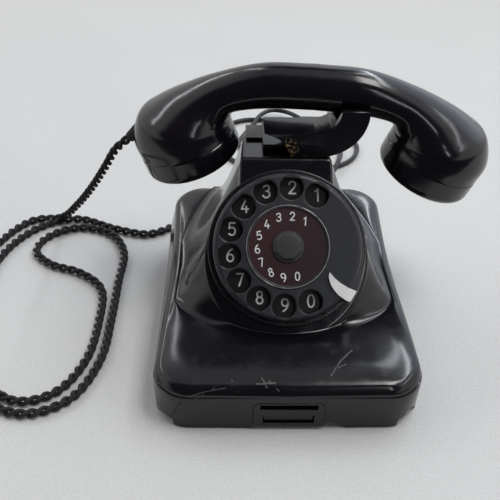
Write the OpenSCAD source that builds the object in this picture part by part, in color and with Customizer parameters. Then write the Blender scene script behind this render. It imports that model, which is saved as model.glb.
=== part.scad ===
// Desk telephone with a rotary dial: moulded case with a raised neck, a sprung handset
// cradle, a dial mechanism, a bell set inside, a handset, and its two cords.
// Units are millimetres. X runs to the right, Y to the back and Z up.

/* [Case] */
// Width of the case at its rim, in front
case_w = 160; // [155:1:166]
// How far each side draws in from the rim down to the foot
foot_in = 2.6; // [0:0.2:4]
// Depth of the case at its foot
case_d = 190; // [186:1:198]
// Radius of the foot's corners
case_corner = 22; // [19:1:26]
// How far each side comes in toward the back
case_taper = 5; // [1:0.5:6]
// Thickness of the moulded wall
case_wall = 3; // [2.5:0.1:3.6]
// Height of the top surface at the front edge
front_h = 33; // [32:0.5:37]
// Height of the top surface at the back edge
back_h = 56.5; // [52:0.5:60]
// Radius of the rounded rim
rim_r = 7; // [5:0.5:9]
// How much the sides lean in for each millimetre of height
side_lean = 0.26; // [0.1:0.02:0.4]
// Height of the neck's top
neck_z = 117; // [113:1:122]
// Width of the neck
neck_w = 58; // [52:1:62]
// Distance of the neck's back from the middle of the case
neck_back = 58; // [56:1:62]
// How much each side of the neck comes in for each millimetre toward the back
neck_taper = 0.07; // [0.04:0.01:0.1]
// Height of the rubber feet
foot_h = 2.6; // [2:0.1:4]
// Thickness of the steel base plate
plate_t = 1.5; // [1:0.1:2.5]

/* [Dial] */
// Angle of the dial's axis above the horizontal
dial_tilt = 40; // [38:0.5:43]
// Distance of the dial's centre in front of the middle of the case
dial_front = 21.2; // [19:0.2:23]
// Height of the dial's centre
dial_z = 78; // [76:0.5:80]
// Diameter of the finger wheel
wheel_d = 89.5; // [87:0.5:92]
// Width of the fixed ring round the wheel
ring_wall = 2.45; // [1.8:0.05:3.2]
// Diameter of a finger hole
finger_d = 14.5; // [13:0.1:15]
// Distance of the finger holes' circle from the wheel's edge
finger_edge = 9.25; // [9:0.05:10]
// Distance from the finger holes to the card in the middle of the wheel
card_edge = 4.95; // [4.5:0.05:7]
// Diameter of the dial's main shaft
dial_shaft_d = 6; // [4:0.5:8]

/* [Cradle] */
// Travel of the cradle
cradle_travel = 5; // [3:0.5:5.5]
// Height of the cradle's horns above the neck
horn_h = 31.5; // [28:0.5:34]
// Height of the cradle's bridge above the neck
bridge_h = 17; // [14:0.5:19]
// Thickness of a horn from front to back
horn_t = 4.5; // [3.5:0.1:4.8]
// Diameter of the cradle's guide rods
rod_d = 5; // [4:0.2:6]

/* [Handset] */
// Height of the handset's grip above the neck
grip_lift = 37.3; // [37:0.1:42]
// Height of the grip's middle section
grip_h = 28; // [26:0.5:29]
// Width of the grip's middle section
grip_w = 28; // [26:0.5:29]
// Sideways distance of the handset from the middle of the case
handset_x = 16.8; // [14:0.2:20]
// Tilt of the handset, right end down
handset_tilt = 0.7; // [0:0.1:2]
// Turn of the handset, right end forward
handset_turn = 5.7; // [3:0.1:6]
// Roll of the handset, its caps backward
handset_roll = 2.5; // [0:0.1:4]
// Radius of the handset's caps
cap_r = 31.5; // [31:0.5:33.5]
// Height of a cap
cap_h = 16; // [14:0.5:18]
// Distance of a cap from the middle of the handset
cup_x = 78.5; // [76:0.5:80]
// Angle at which the caps face each other
cup_tilt = 21; // [19:1:24]
// How far the handset can be lifted
lift = 80; // [40:5:120]

/* [Ringer] */
// Radius of a bell gong
gong_r = 25; // [22:0.5:26]
// Height of a bell gong's rim
gong_z = 20; // [18:0.5:22]
// Travel of the clapper to either side, in degrees
clapper_swing = 4.5; // [2:0.5:4.5]

/* [Front key] */
// Width of the key's frame
key_frame_w = 41; // [36:1:46]
// Height of the key's frame
key_frame_h = 18.4; // [16:0.2:20]
// Travel of the key
key_travel = 2.5; // [1.5:0.5:3]

/* [Cords] */
// Diameter of the twisted handset cord
hcord_d = 6; // [4:0.5:6]
// Diameter of the line cord
lcord_d = 4; // [3:0.1:4]

/* [Hidden] */

// Place of the case's middle, so that the origin is under the middle of the whole telephone
case_x = -13.45;
case_y = -2.85;

// Small gaps: between parts that move, between fixed parts, and round a running shaft
move_gap = 0.4;
seat_gap = 0.3;
run_gap = 0.05;

// Heights of the base plate
plate_z = foot_h;
floor_z = plate_z + plate_t;
case_foot = 0.8;
wall_z = 26;
edge_r = 2;
flare = 40;
flare_front = 4.5;
blend_k = 6;
crease_k = 1.5;
screw_inset = 16;
screw_r = 1.6;

// Dial, measured along its own axis from the top of the ring
ring_h = 5;
wheel_r = wheel_d / 2;
ring_r = wheel_r + 0.6 + ring_wall;
finger_r = wheel_r - finger_edge;
floor_t = 1.5;
drum_r = ring_r + 2.2;
can_r = ring_r - 10.8;
can_step = 10.5;
can_low_r = can_r - 5.5;
can_wall = 1.5;
can_depth = 32;
dial_y = -dial_front;
first_hole = 60.7;
hole_pitch = 360 / 14;
hole_count = 10;
wheel_top = 7.5;
wheel_t = 3;
skirt_t = 1.5;
skirt_z = 0.6;
plate_top = 1.6;
card_r = finger_r - finger_d / 2 - card_edge;
card_ring_t = 1.9;
card_t = 1;
card_seat = wheel_top - 0.9;
hub_r = 7;
shaft_r = dial_shaft_d / 2;
gear_z = -16;
gear_t = 2;
gear_r = can_low_r - 13.5;
pinion_r = 5.5;
pulse_angle = -25;
pulse_at = (gear_r + pinion_r + 0.15) * [cos(pulse_angle), sin(pulse_angle)];
small_shaft_r = 1.5;
governor_y = 15;
governor_z = -22.5;
governor_r = 5.5;
governor_x = can_low_r - 14.5;
fin_step = (governor_x - 5) / 6;
contact_y = can_low_r - 7.5;
bridge_z = -can_depth + 1.5;
bridge_t = 1.5;

// Neck, cradle and switch
hub_y = 5;
neck_front = 5;
cradle_z = neck_z + move_gap;
cradle_front = 18.3;
horn_in = 32;
horn_out = 49;
bend_out = 29;
bend_in = 15;
horn_gap = grip_w / cos(handset_turn) + (horn_out - horn_in) * tan(handset_turn) + 0.8;
horn_back = cradle_front + horn_gap + 2 * horn_t;
rod_x = [-2, 15];
rod_y = 37.5;
rod_r = rod_d / 2;
bush_r = rod_r + 2;
bush_z = neck_z - 12;
rod_low = neck_z - 25.4;
lever_z = rod_low - move_gap - 1.2;
lever_x = rod_x[0] - 13;
lever_pin_r = 1.5;
spring_floor = neck_z - 28.8;
collar_z = neck_z - 19.2;
bracket_y = 51;
bracket_x = neck_w / 2 - case_wall - neck_taper * (bracket_y - hub_y) - 3;

// Handset, in its own frame with its grip's middle at the origin
handset_y = cradle_front + horn_t + horn_gap / 2 + ((horn_in + horn_out) / 2 - handset_x) * tan(handset_turn);
handset_z = neck_z + grip_lift;
cup_z = -42.4;
chamber_r = 28;
thread_gap = 0.3;

// Bell set
gong_x = gong_r + 6;
gong_y = case_d / 2 - 35;
gong_h = 14;
gong_t = 1.6;
coil_x = 11;
coil_z = floor_z + 12;
pivot_y = gong_y - 29.5;
ringer_y = pivot_y - 24.5;

// Circuit parts beside the dial, and the terminals in front
side_x = case_w / 2 - 32;
side_y = -26;
block_y = 33 - case_d / 2;

// Front key
key_x = -0.2;
key_z = 2.6;

// Glands in the back wall
hgland_x = -50;
lgland_x = -30;
gland_z = 10;
gland_drop = 45;
gland_len = 4.5;
gland_out = 6;
back_y = case_d / 2;

// ---------------------------------------------------------------- helpers

function clamp01(v) = min(1, max(0, v));

// Smooth larger and smooth smaller of two values, rounded over a width of k
function smax(a, b, k) = let (h = clamp01(0.5 + 0.5 * (a - b) / k)) b * (1 - h) + a * h + k * h * (1 - h);
function smin(a, b, k) = -smax(-a, -b, k);

function arc_points(c, r, a0, a1, n) = [for (i = [0:n]) let (a = a0 + (a1 - a0) * i / n) c + r * [cos(a), sin(a)]];

// A closed curve through hand-chosen points: Catmull-Rom, n steps to each span
function spline(p, n) = concat(
  [for (i = [0:len(p) - 2])
    let (a = i > 0 ? p[i - 1] : 2 * p[0] - p[1], b = p[i], c = p[i + 1],
         d = i < len(p) - 2 ? p[i + 2] : 2 * p[len(p) - 1] - p[len(p) - 2])
    for (k = [0:n - 1]) let (t = k / n)
      0.5 * (2 * b + (c - a) * t + (2 * a - 5 * b + 4 * c - d) * t * t + (3 * b - a - 3 * c + d) * t * t * t)],
  [p[len(p) - 1]]);

// Faces of a skin over rows of points: row i runs down the skin, rows go round it
function skin_faces(rows, cols, first) = [
  for (i = [0:rows - 1], j = [0:cols - 2])
    let (n = (i + 1) % rows, a = first + i * cols + j, b = first + n * cols + j)
      each [[a, b, b + 1], [a, b + 1, a + 1]]];

// Faces of a ring of rings that closes on itself both ways
function torus_faces(rings, n) = [
  for (j = [0:rings - 1], i = [0:n - 1])
    let (j2 = (j + 1) % rings, i2 = (i + 1) % n)
      each [[j * n + i, j * n + i2, j2 * n + i2], [j * n + i, j2 * n + i2, j2 * n + i]]];

// A round tube swept along a route, with flat ends
module tube(route, d, sides) {
  last = len(route) - 1;
  points = [for (i = [0:last])
    let (t = route[min(i + 1, last)] - route[max(i - 1, 0)], u = t / norm(t),
         s = cross(u, [0, 0, 1]) / norm(cross(u, [0, 0, 1])), v = cross(s, u))
    for (k = [0:sides - 1]) let (a = 360 * k / sides) route[i] + d / 2 * (cos(a) * s + sin(a) * v)];
  faces = concat(
    [[for (k = [0:sides - 1]) k]],
    [for (i = [0:last - 1], k = [0:sides - 1])
      let (a = i * sides + k, b = i * sides + (k + 1) % sides)
        each [[a, a + sides, b + sides], [a, b + sides, b]]],
    [[for (k = [sides - 1:-1:0]) last * sides + k]]);
  polyhedron(points = points, faces = faces);
}

// A round rod or cone between two points
module rod_between(a, b, r1, r2) {
  d = b - a;
  translate(a)
    rotate([0, acos(d.z / norm(d)), atan2(d.y, d.x)])
      cylinder(h = norm(d), r1 = r1, r2 = r2, $fn = 48);
}

module disc(r, z0, z1, fn = 96) translate([0, 0, z0]) cylinder(r = r, h = z1 - z0, $fn = fn);

module pipe(r_out, r_in, z0, z1, fn = 96) difference() {
  disc(r_out, z0, z1, fn);
  disc(r_in, z0 - 1, z1 + 1, fn);
}

// A box given by its two corners
module block(low, high) translate(low) cube(high - low);

// A flat shape drawn in X and Z, standing from y0 to y1
module standing(y0, y1) translate([0, y1, 0]) rotate([90, 0, 0]) linear_extrude(y1 - y0) children();

module at_case() translate([case_x, case_y, 0]) children();
module at_dial() at_case() translate([0, dial_y, dial_z]) rotate([90 - dial_tilt, 0, 0]) children();
module at_handset() at_case() translate([handset_x, handset_y, handset_z])
  rotate([handset_roll, handset_tilt, -handset_turn]) children();
// The frame of a cap: Z points out of the cap's face. The side is 1 on the right and -1 on the left.
module at_cup(side) at_handset() translate([side * cup_x, 0, cup_z])
  rotate([0, 180 + side * cup_tilt, 0]) children();

// ---------------------------------------------------------------- case

function taper_at(y) = case_taper * clamp01((y + case_d / 2) / case_d) * 2 / case_w;

// The foot's outline, inset by t: a rounded rectangle whose sides come in toward the back
corner_steps = 6;
side_steps = 15;
function foot_outline(t) =
  let (hw = case_w / 2 - t, hd = case_d / 2 - t, r = case_corner - t,
       c = [[hw - r, hd - r], [r - hw, hd - r], [r - hw, r - hd], [hw - r, r - hd]],
       arcs = [for (q = [0:3]) arc_points(c[q], r, 90 * q, 90 * q + 90, corner_steps)],
       all = [for (q = [0:3]) let (from = arcs[q][corner_steps], to = arcs[(q + 1) % 4][0])
         each concat(arcs[q], [for (k = [1:side_steps - 1]) from + (to - from) * k / side_steps])])
  [for (p = all) [p.x * (1 - taper_at(p.y)), p.y]];

// Height of the dial drum's sloping face, of the neck with it, and of the shoulders
function face_z(y, t) = dial_z - (ring_h + t) / sin(dial_tilt) + (y - dial_y) / tan(dial_tilt);
function cap_z(y, t) = smin(face_z(y, t), neck_z - t, crease_k);
function crease_y(t) = dial_y + (neck_z - t - dial_z + (ring_h + t) / sin(dial_tilt)) * tan(dial_tilt);
function top_z(y, t) = front_h - t + (back_h - front_h) * (y + case_d / 2) / case_d;

// Chips broken out of the foot: place, reach to either side and height
chips = [[-72, -86, 9, 5.5], [72.5, -87, 10, 6], [25, -95, 9, 1.6]];
function chip_at(b) = max([for (c = chips) c[3] * clamp01(1.4 * (1 - norm(b - [c.x, c.y]) / c[2]))]);

// One line down the case's skin, from the top outward in the direction of the foot's point b
function spoke(b, t, steps) =
  let (d = b - [0, hub_y], rb = norm(d), u = d / rb,
       a = drum_r - t, e = a * sin(dial_tilt), o = hub_y - dial_y,
       qa = pow(u.x / a, 2) + pow(u.y / e, 2), qb = o * u.y / (e * e), qc = pow(o / e, 2) - 1,
       hit = qb * qb - qa * qc,
       r_drum = hit > 0 ? (sqrt(hit) - qb) / qa : 0,
       side = (neck_w / 2 - t) / max(abs(u.x) + neck_taper * max(u.y, 0), 0.001),
       ends = (u.y > 0 ? neck_back - t - hub_y : hub_y - neck_front + 1) / max(abs(u.y), 0.001),
       r_neck = pow(pow(side, -10) + pow(ends, -10), -1 / 10),
       rh = smax(r_drum, r_neck, blend_k),
       er = max(edge_r - t, 1), rr = max(rim_r - t, 2),
       reach = rh - er,
       fold = u.y > 0.01 ? max(0.25 * reach, min(0.9 * reach, (crease_y(t) - hub_y) / u.y)) : 0.9 * reach,
       r_end = min(rh + flare_front + (flare - flare_front) * pow(1 + min(u.y, 0), 1.5), rb - rr - 4),
       z_end = top_z(hub_y + u.y * r_end, t),
       h = max(cap_z(hub_y + u.y * rh, t) - er - z_end, 1),
       start = min(0.45 * h, 0.6 * (r_end - rh)),
       z_rim = top_z(b.y, t),
       lean = side_lean * max(z_rim - wall_z, 0) * max(abs(u.x), clamp01(u.y)),
       r_rim = rb - lean,
       rz = concat(
         [for (s = steps[0]) let (r = s > 1 ? reach : fold + s) [r, cap_z(hub_y + u.y * r, t)]],
         [for (g = steps[1]) let (r = rh - er + er * sin(g)) [r, cap_z(hub_y + u.y * r, t) - er * (1 - cos(g))]],
         [for (s = steps[2]) [rh + 2 * s * (1 - s) * start + s * s * (r_end - rh), z_end + h * (1 - s) * (1 - s)]],
         [for (s = steps[3]) let (r = r_end + (r_rim - rr - r_end) * s) [r, top_z(hub_y + u.y * r, t)]],
         [for (g = steps[4]) let (r = r_rim - rr + rr * sin(g)) [r, top_z(hub_y + u.y * r, t) - rr * (1 - cos(g))]],
         [[rb, min(wall_z, z_rim - rr - 1)], [rb - foot_in * abs(u.x), case_foot + chip_at(b)]]))
  [for (p = rz) [u.x * p.x, hub_y + u.y * p.x, p.y]];

outer_steps = [[-1, 1, 2], [30, 60, 90], [0.1, 0.22, 0.36, 0.5, 0.65, 0.82, 1], [0.35, 0.7, 1], [22.5, 45, 67.5, 90]];
inner_steps = [[0, 2], [90], [0.2, 0.45, 0.72, 1], [1], [45, 90]];

module case_skin() {
  outer = [for (b = foot_outline(0)) spoke(b, 0, outer_steps)];
  inner = [for (b = foot_outline(case_wall)) spoke(b, case_wall, inner_steps)];
  rows = len(outer);
  cols = len(outer[0]) + len(inner[0]);
  points = concat(
    [[0, hub_y, cap_z(hub_y, 0)], [0, hub_y, cap_z(hub_y, case_wall)]],
    [for (i = [0:rows - 1]) each concat(outer[i], [for (j = [len(inner[0]) - 1:-1:0]) inner[i][j]])]);
  fans = [for (i = [0:rows - 1]) let (n = (i + 1) % rows)
    each [[0, 2 + n * cols, 2 + i * cols], [1, 2 + i * cols + cols - 1, 2 + n * cols + cols - 1]]];
  polyhedron(points = points, faces = concat(skin_faces(rows, cols, 2), fans));
}

// Where the base screws stand: in front and at the back, right and left
function screw_x(sy) = case_w / 2 - screw_inset - (sy > 0 ? case_taper : 0);
screw_y = case_d / 2 - screw_inset;

// A post for a base screw, and the web that ties it to the corner
module case_post(sx, sy) {
  x = sx * screw_x(sy);
  y = sy * screw_y;
  top = top_z(y, case_wall) + 1;
  reach = screw_inset - case_corner + (case_corner - case_wall) * cos(45);
  hull() {
    translate([x, y, floor_z]) cylinder(r = 4.6, h = 1, $fn = 32);
    translate([x, y, top - 1]) cylinder(r = 5, h = 1, $fn = 32);
  }
  hull() {
    translate([x, y, floor_z + 1]) cylinder(r = 1.2, h = wall_z - floor_z - 4, $fn = 16);
    translate([x + sx * reach, y + sy * reach, floor_z + 1]) cylinder(r = 1.2, h = wall_z - floor_z - 8, $fn = 16);
  }
}

module key_opening(grow) {
  w = key_frame_w / 2 + grow;
  top = key_z + key_frame_h + grow;
  r = 4;
  standing(-case_d / 2 - 2, -case_d / 2 + case_wall + 2) translate([key_x, 0]) {
    polygon(concat([[-w, -1], [w, -1]], arc_points([w - r, top - r], r, 0, 90, 6),
                   arc_points([r - w, top - r], r, 90, 180, 6)));
  }
}

module case_shell() color("#17181b") at_case() difference() {
  union() {
    case_skin();
    for (sx = [-1, 1], sy = [-1, 1]) case_post(sx, sy);
  }
  translate([0, dial_y, dial_z]) rotate([90 - dial_tilt, 0, 0]) disc(can_r + 1, -ring_h - 6, 5);
  key_opening(seat_gap);
  for (x = rod_x) translate([x, rod_y, 0]) disc(bush_r + 0.1, neck_z - 8, neck_z + 2, 48);
  for (g = [[hgland_x, hcord_d / 2 + 2], [lgland_x, lcord_d / 2 + 2]])
    translate([g.x, back_y + 2, gland_z]) rotate([90, 0, 0]) cylinder(r = g.y + 0.1, h = case_wall + 4, $fn = 48);
  for (sx = [-1, 1], sy = [-1, 1]) translate([sx * screw_x(sy), sy * screw_y, 0]) disc(screw_r + 0.1, 0, floor_z + 14, 32);
}

// ---------------------------------------------------------------- base

// Outline of the base plate: the foot's outline, drawn in as the case's sides are
module plate_outline(t) polygon([for (b = foot_outline(t))
  let (d = b - [0, hub_y], u = d / norm(d)) b - foot_in * abs(u.x) * u]);

module base_plate() color("#6d6f70") at_case() difference() {
  translate([0, 0, plate_z]) linear_extrude(plate_t) plate_outline(case_wall + seat_gap);
  for (sx = [-1, 1], sy = [-1, 1]) translate([sx * screw_x(sy), sy * screw_y, 0]) disc(screw_r + 0.2, 0, 20, 32);
  for (sx = [-1, 1], i = [-3:3]) {
    block([sx * gong_x + i * 6 - 1, gong_y - 14, 0], [sx * gong_x + i * 6 + 1, gong_y - 6, 20]);
    block([sx * gong_x + i * 6 - 1, gong_y + 6, 0], [sx * gong_x + i * 6 + 1, gong_y + 14, 20]);
  }
  block([key_x - key_frame_w / 2 - 1, -case_d / 2 - 1, 0], [key_x + key_frame_w / 2 + 1, -case_d / 2 + 18, 20]);
}

module rubber_feet() color("#2a2a2a") at_case()
  for (sx = [-1, 1], sy = [-1, 1]) translate([sx * (screw_x(sy) - 14), sy * (screw_y - 4), 0]) {
    disc(7, 0, foot_h - 1, 48);
    disc(8, foot_h - 1, foot_h, 48);
  }

module base_screws() color("#8d8a84") at_case()
  for (sx = [-1, 1], sy = [-1, 1]) translate([sx * screw_x(sy), sy * screw_y, 0]) difference() {
    union() {
      disc(screw_r, plate_z - 0.1, floor_z + 12, 32);
      disc(3.4, plate_z - 1.6, plate_z, 32);
    }
    block([-3, -0.4, 0], [3, 0.4, plate_z - 0.9]);
  }

// ---------------------------------------------------------------- front key

key_w = key_frame_w - 11.6;
key_low = key_z + 3.2;
key_high = key_low + 5.4;
key_face = -case_d / 2 + 0.4;
frame_back = key_face + 8.4;

module front_key_frame() color("#232427") at_case() difference() {
  translate([key_x, 0, 0]) standing(key_face - 0.6, frame_back) {
    w = key_frame_w / 2;
    top = key_z + key_frame_h;
    r = 3.6;
    polygon(concat([[-w, key_z], [w, key_z]], arc_points([w - r, top - r], r, 0, 90, 6),
                   arc_points([r - w, top - r], r, 90, 180, 6)));
  }
  translate([key_x, 0, 0]) {
    block([-key_w / 2 - 0.2, key_face - 2, key_low - 0.2], [key_w / 2 + 0.2, frame_back + 1, key_high + 0.2]);
    block([-key_w / 2 - 2, key_face - 2, key_z + 13.6], [key_w / 2 + 2, key_face + 2.4, key_z + key_frame_h - 1.2]);
  }
}

module front_key() color("#1a1b1e") at_case() translate([key_x, 0, 0]) {
  block([-key_w / 2, key_face + 0.8, key_low], [key_w / 2, frame_back - 1, key_high]);
  block([-key_w / 2 + 3, frame_back - 1, key_low + 1.4], [key_w / 2 - 3, frame_back + 2, key_high - 1.4]);
}

module key_contacts() color("#b89a5a") at_case() translate([key_x, 0, 0]) {
  y = frame_back + 2 + key_travel + 0.4;
  block([-12, y, floor_z + 2], [14, y + 0.5, key_high]);
  block([-12, y + 2, floor_z + 2], [14, y + 2.5, key_high]);
  block([8, y + 0.5, floor_z], [14, y + 2, key_high]);
  block([8, y - 1.5, floor_z], [14, y, floor_z + 2]);
  block([8, y, floor_z], [14, y + 6, floor_z + 2]);
}

// ---------------------------------------------------------------- dial, fixed parts

module dial_housing() color("#1c1d20") at_dial() difference() {
  union() {
    difference() {
      disc(ring_r, -ring_h, 0, 128);
      disc(ring_r - ring_wall, -ring_h + floor_t, 1, 128);
    }
    pipe(can_r, can_r - can_wall, -can_step, -ring_h, 128);
    pipe(can_r, can_low_r - can_wall, -can_step - can_wall, -can_step, 128);
    pipe(can_low_r, can_low_r - can_wall, -can_depth, -can_step, 128);
    disc(shaft_r + 3, -ring_h - 7, -ring_h + 0.1, 48);
    translate(pulse_at) disc(3.4, -ring_h - 3.5, -ring_h + 0.1, 32);
    block([shaft_r + 2.5, -1.5, -ring_h - 6], [spring_in + 1, 0, -ring_h]);
    block([spring_out - 0.5, 0, -ring_h - 6], [spring_out + 1.5, 1.5, -ring_h]);
  }
  disc(shaft_r + run_gap, -ring_h - 9, 1, 48);
  translate(pulse_at) disc(small_shaft_r + run_gap, -ring_h - 5, -ring_h - 0.5, 32);
}

module number_plate() color("#101113") at_dial() difference() {
  union() {
    disc(wheel_r - skirt_t - 0.7, plate_top - 1.2, plate_top, 128);
    disc(wheel_r - skirt_t - 0.7, -ring_h + floor_t, plate_top, 128);
  }
  disc(wheel_r - skirt_t - 3.2, -ring_h, plate_top - 1.2, 128);
  disc(hub_r + 3, -ring_h, plate_top + 1, 64);
}

// Stop hook: a claw over the wheel, and its foot on the ring
stop_z = wheel_top + 0.6;
stop_t = 1.2;
module finger_stop() color("#d9d8d2") at_dial() {
  scale_r = ring_r / 47.8;
  translate([0, 0, stop_z]) linear_extrude(stop_t) polygon(scale_r * concat(
    [[24.6, -15.2], [27.5, -18.6], [31.4, -21.8], [35.8, -24.4], [40.6, -26.3]],
    [[36.6, -32.8], [33.4, -31.3], [30, -28.9], [27, -25.6], [24.9, -21.8], [23.9, -17.6]]));
  difference() {
    linear_extrude(stop_z) polygon([for (p = [[wheel_r + 1.2, -33.4], [ring_r + 0.6, -33], [ring_r + 0.6, -41.8], [wheel_r + 1.2, -41.4]])
      p.x * [cos(p.y), sin(p.y)]]);
    disc(wheel_r + 1, -1, stop_z - 0.01, 128);
  }
}

module dial_bridge() color("#a8a294") at_dial() {
  difference() {
    disc(can_low_r - can_wall - 0.2, bridge_z, bridge_z + bridge_t, 96);
    disc(shaft_r + run_gap, bridge_z - 1, bridge_z + bridge_t + 1, 48);
    translate(pulse_at) disc(small_shaft_r + run_gap, bridge_z - 1, bridge_z + bridge_t + 1, 32);
    translate([-22, -8, 0]) disc(6, bridge_z - 1, bridge_z + bridge_t + 1, 32);
  }
  for (s = [-1, 1]) difference() {
    block([s * governor_x - 1.5, governor_y - 3, bridge_z + bridge_t], [s * governor_x + 1.5, governor_y + 3, governor_z + 3]);
    translate([s * governor_x - 4, governor_y, governor_z]) rotate([0, 90, 0]) cylinder(r = small_shaft_r + run_gap, h = 8, $fn = 32);
  }
}

// Flat spiral spring round the dial's bush
spring_turns = 4;
spring_grow = 2.2;
spring_strip = 0.7;
spring_in = shaft_r + 4;
spring_out = spring_in + spring_turns * spring_grow;
function spiral_at(i, off) = let (a = 15 * i)
  (spring_in + spring_grow * a / 360 + off) * [cos(a), sin(a)];
module return_spring() color("#5b6066") at_dial() translate([0, 0, -ring_h - 6]) linear_extrude(4)
  polygon(concat([for (i = [0:24 * spring_turns]) spiral_at(i, 0)],
                 [for (i = [24 * spring_turns:-1:0]) spiral_at(i, spring_strip)]));

module pulse_contacts() color("#b89a5a") at_dial() {
  top = bridge_z + bridge_t;
  block([-12, -contact_y, top], [-6, 7 - contact_y, top + 10]);
  for (y = [1.5, 4, 6.2]) block([-6, y - contact_y, top + 5], [14, y - contact_y + 0.5, top + 9]);
}

// ---------------------------------------------------------------- dial, turning parts

module finger_wheel() color("#26272b") at_dial() difference() {
  rotate_extrude($fn = 128) polygon(concat(
    [[shaft_r, skirt_z], [hub_r, skirt_z], [hub_r, wheel_top - wheel_t], [wheel_r - 3.2, wheel_top - wheel_t],
     [wheel_r - skirt_t, wheel_top - wheel_t - 1.6], [wheel_r - skirt_t, skirt_z], [wheel_r, skirt_z]],
    arc_points([wheel_r - 3, wheel_top - 3], 3, 0, 90, 6),
    [[card_r + card_ring_t, wheel_top], [card_r + card_ring_t, card_seat], [shaft_r, card_seat]]));
  for (i = [0:hole_count - 1]) rotate([0, 0, first_hole + i * hole_pitch]) translate([finger_r, 0, 0])
    disc(finger_d / 2, 0, wheel_top + 1, 64);
}

module number_card() color("#3a1d1c") at_dial() difference() {
  disc(card_r, card_seat, card_seat + card_t);
  disc(shaft_r, card_seat - 1, card_seat + card_t + 1, 48);
}

module card_ring() color("#9a9a98") at_dial() difference() {
  pipe(card_r + card_ring_t - 0.1, card_r, card_seat, card_seat + 1.2, 128);
}

cap_low = card_seat + card_t;
module centre_cap() color("#3b3d40") at_dial() difference() {
  union() {
    disc(9.2, cap_low, cap_low + 1.4, 64);
    translate([0, 0, cap_low + 1.4]) cylinder(r1 = 8.6, r2 = 7.6, h = 1.6, $fn = 8);
  }
  disc(shaft_r, cap_low - 1, cap_low + 1.5, 48);
}

module dial_shaft() color("#b9b4a8") at_dial() disc(shaft_r, -can_depth, cap_low + 1.5, 48);

// A gear blank with square teeth, seen along its axis
module gear_shape(r, teeth, depth) polygon([
  for (i = [0:teeth - 1], k = [0:3])
    let (a = 360 / teeth * (i + [0, 0.25, 0.5, 0.75][k])) (k < 2 ? r : r - depth) * [cos(a), sin(a)]]);

module main_gear() color("#b08d48") at_dial() translate([0, 0, gear_z]) difference() {
  linear_extrude(gear_t) gear_shape(gear_r, 36, 0.9);
  disc(shaft_r, -1, gear_t + 1, 48);
  for (a = [0:90:270]) rotate([0, 0, a]) translate([10.5, 0, 0]) disc(3.4, -1, gear_t + 1, 32);
}

module pulse_cam() color("#b9b4a8") at_dial() translate(pulse_at) {
  disc(small_shaft_r, -can_depth + 1, -ring_h - 0.8, 32);
  translate([0, 0, gear_z]) linear_extrude(gear_t) gear_shape(pinion_r, 11, 0.9);
  translate([0, 0, gear_z - 6]) linear_extrude(2.4) {
    circle(r = 3.6, $fn = 48);
    for (a = [0, 120, 240]) rotate(a) translate([0, -0.9]) square([4.8, 1.8]);
  }
}

module governor() color("#b9b4a8") at_dial() translate([0, governor_y, governor_z]) rotate([0, 90, 0]) {
  disc(small_shaft_r, -governor_x - 3, governor_x + 3, 32);
  disc(governor_r, -9, -1, 48);
  for (i = [0:4]) disc(2.4, 3 + i * fin_step, 4 + i * fin_step, 24);
}

// ---------------------------------------------------------------- cradle and switch

// Front view of the cradle: bridge, broken off on the left, and the right horn
bridge_top = neck_z + bridge_h;
horn_top = neck_z + horn_h;
break_x = -14;
// The break's edge: distance along the bridge, and share of the bridge's height
break_line = [[0, 0], [1, 0.03], [3.5, 0.09], [8, 0.2], [11, 0.32], [14.5, 0.61], [15.7, 0.85]];
module cradle_outline() polygon(concat(
  [for (p = break_line) [break_x + p.x, bridge_top - bridge_h * p.y]],
  [[break_x + 16.5, cradle_z], [19, cradle_z]],
  arc_points([horn_out - bend_out, horn_top - 1.5], bend_out, -88, 0, 14),
  [[horn_out, horn_top], [horn_in, horn_top]],
  arc_points([horn_in - bend_in, bridge_top + bend_in], bend_in, 0, -90, 10)));

// The part of that outline below a height, or to the right of a place
module outline_below(z) intersection() {
  cradle_outline();
  translate([break_x - 1, cradle_z - 1]) square([80, z - cradle_z + 1]);
}

// Underside of the handset's grip over the right end of the cradle
saddle_top = handset_z - grip_h / 2 - 2.4 - (horn_out - handset_x) * tan(handset_tilt);
tie_h = 4.5;

module cradle() color("#1a1b1e") at_case() difference() {
  union() {
    standing(cradle_front, cradle_front + horn_t) cradle_outline();
    standing(cradle_front, cradle_front + 21.5) intersection() {
      outline_below(bridge_top);
      translate([break_x, bridge_top - 6.5]) square([40, 6.5]);
    }
    standing(cradle_front, cradle_front + 21.5) intersection() {
      outline_below(saddle_top);
      translate([12, cradle_z - 1]) square([50, 60]);
    }
    standing(cradle_front + 21, horn_back) intersection() {
      outline_below(saddle_top);
      translate([28, cradle_z - 1]) square([50, 60]);
    }
    standing(horn_back - horn_t, horn_back) intersection() {
      cradle_outline();
      union() {
        translate([28, cradle_z - 1]) square([50, 60]);
        translate([12, cradle_z - 1]) square([60, 9]);
      }
    }
    block([break_x - 10, horn_back - 17, cradle_z], [20, horn_back, cradle_z + 1.6]);
    block([break_x, cradle_front + 2, cradle_z], [20, horn_back - 1, cradle_z + tie_h]);
  }
  block([break_x - 5, cradle_front - 1, cradle_z - 1], [2.5, cradle_front + horn_t + 4, cradle_z + tie_h + 0.1]);
  for (x = rod_x) translate([x, rod_y, 0]) disc(rod_r, cradle_z - 1, cradle_z + tie_h - 1, 48);
}

module cradle_rods() color("#b9b4a8") at_case() {
  translate([rod_x[0], rod_y, 0]) disc(rod_r, rod_low, cradle_z + tie_h - 1, 48);
  translate([rod_x[1], rod_y, 0]) {
    disc(rod_r, spring_floor + 0.8, cradle_z + tie_h - 1, 48);
    disc(rod_r + 2.2, collar_z, collar_z + 1.5, 48);
  }
}

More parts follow.
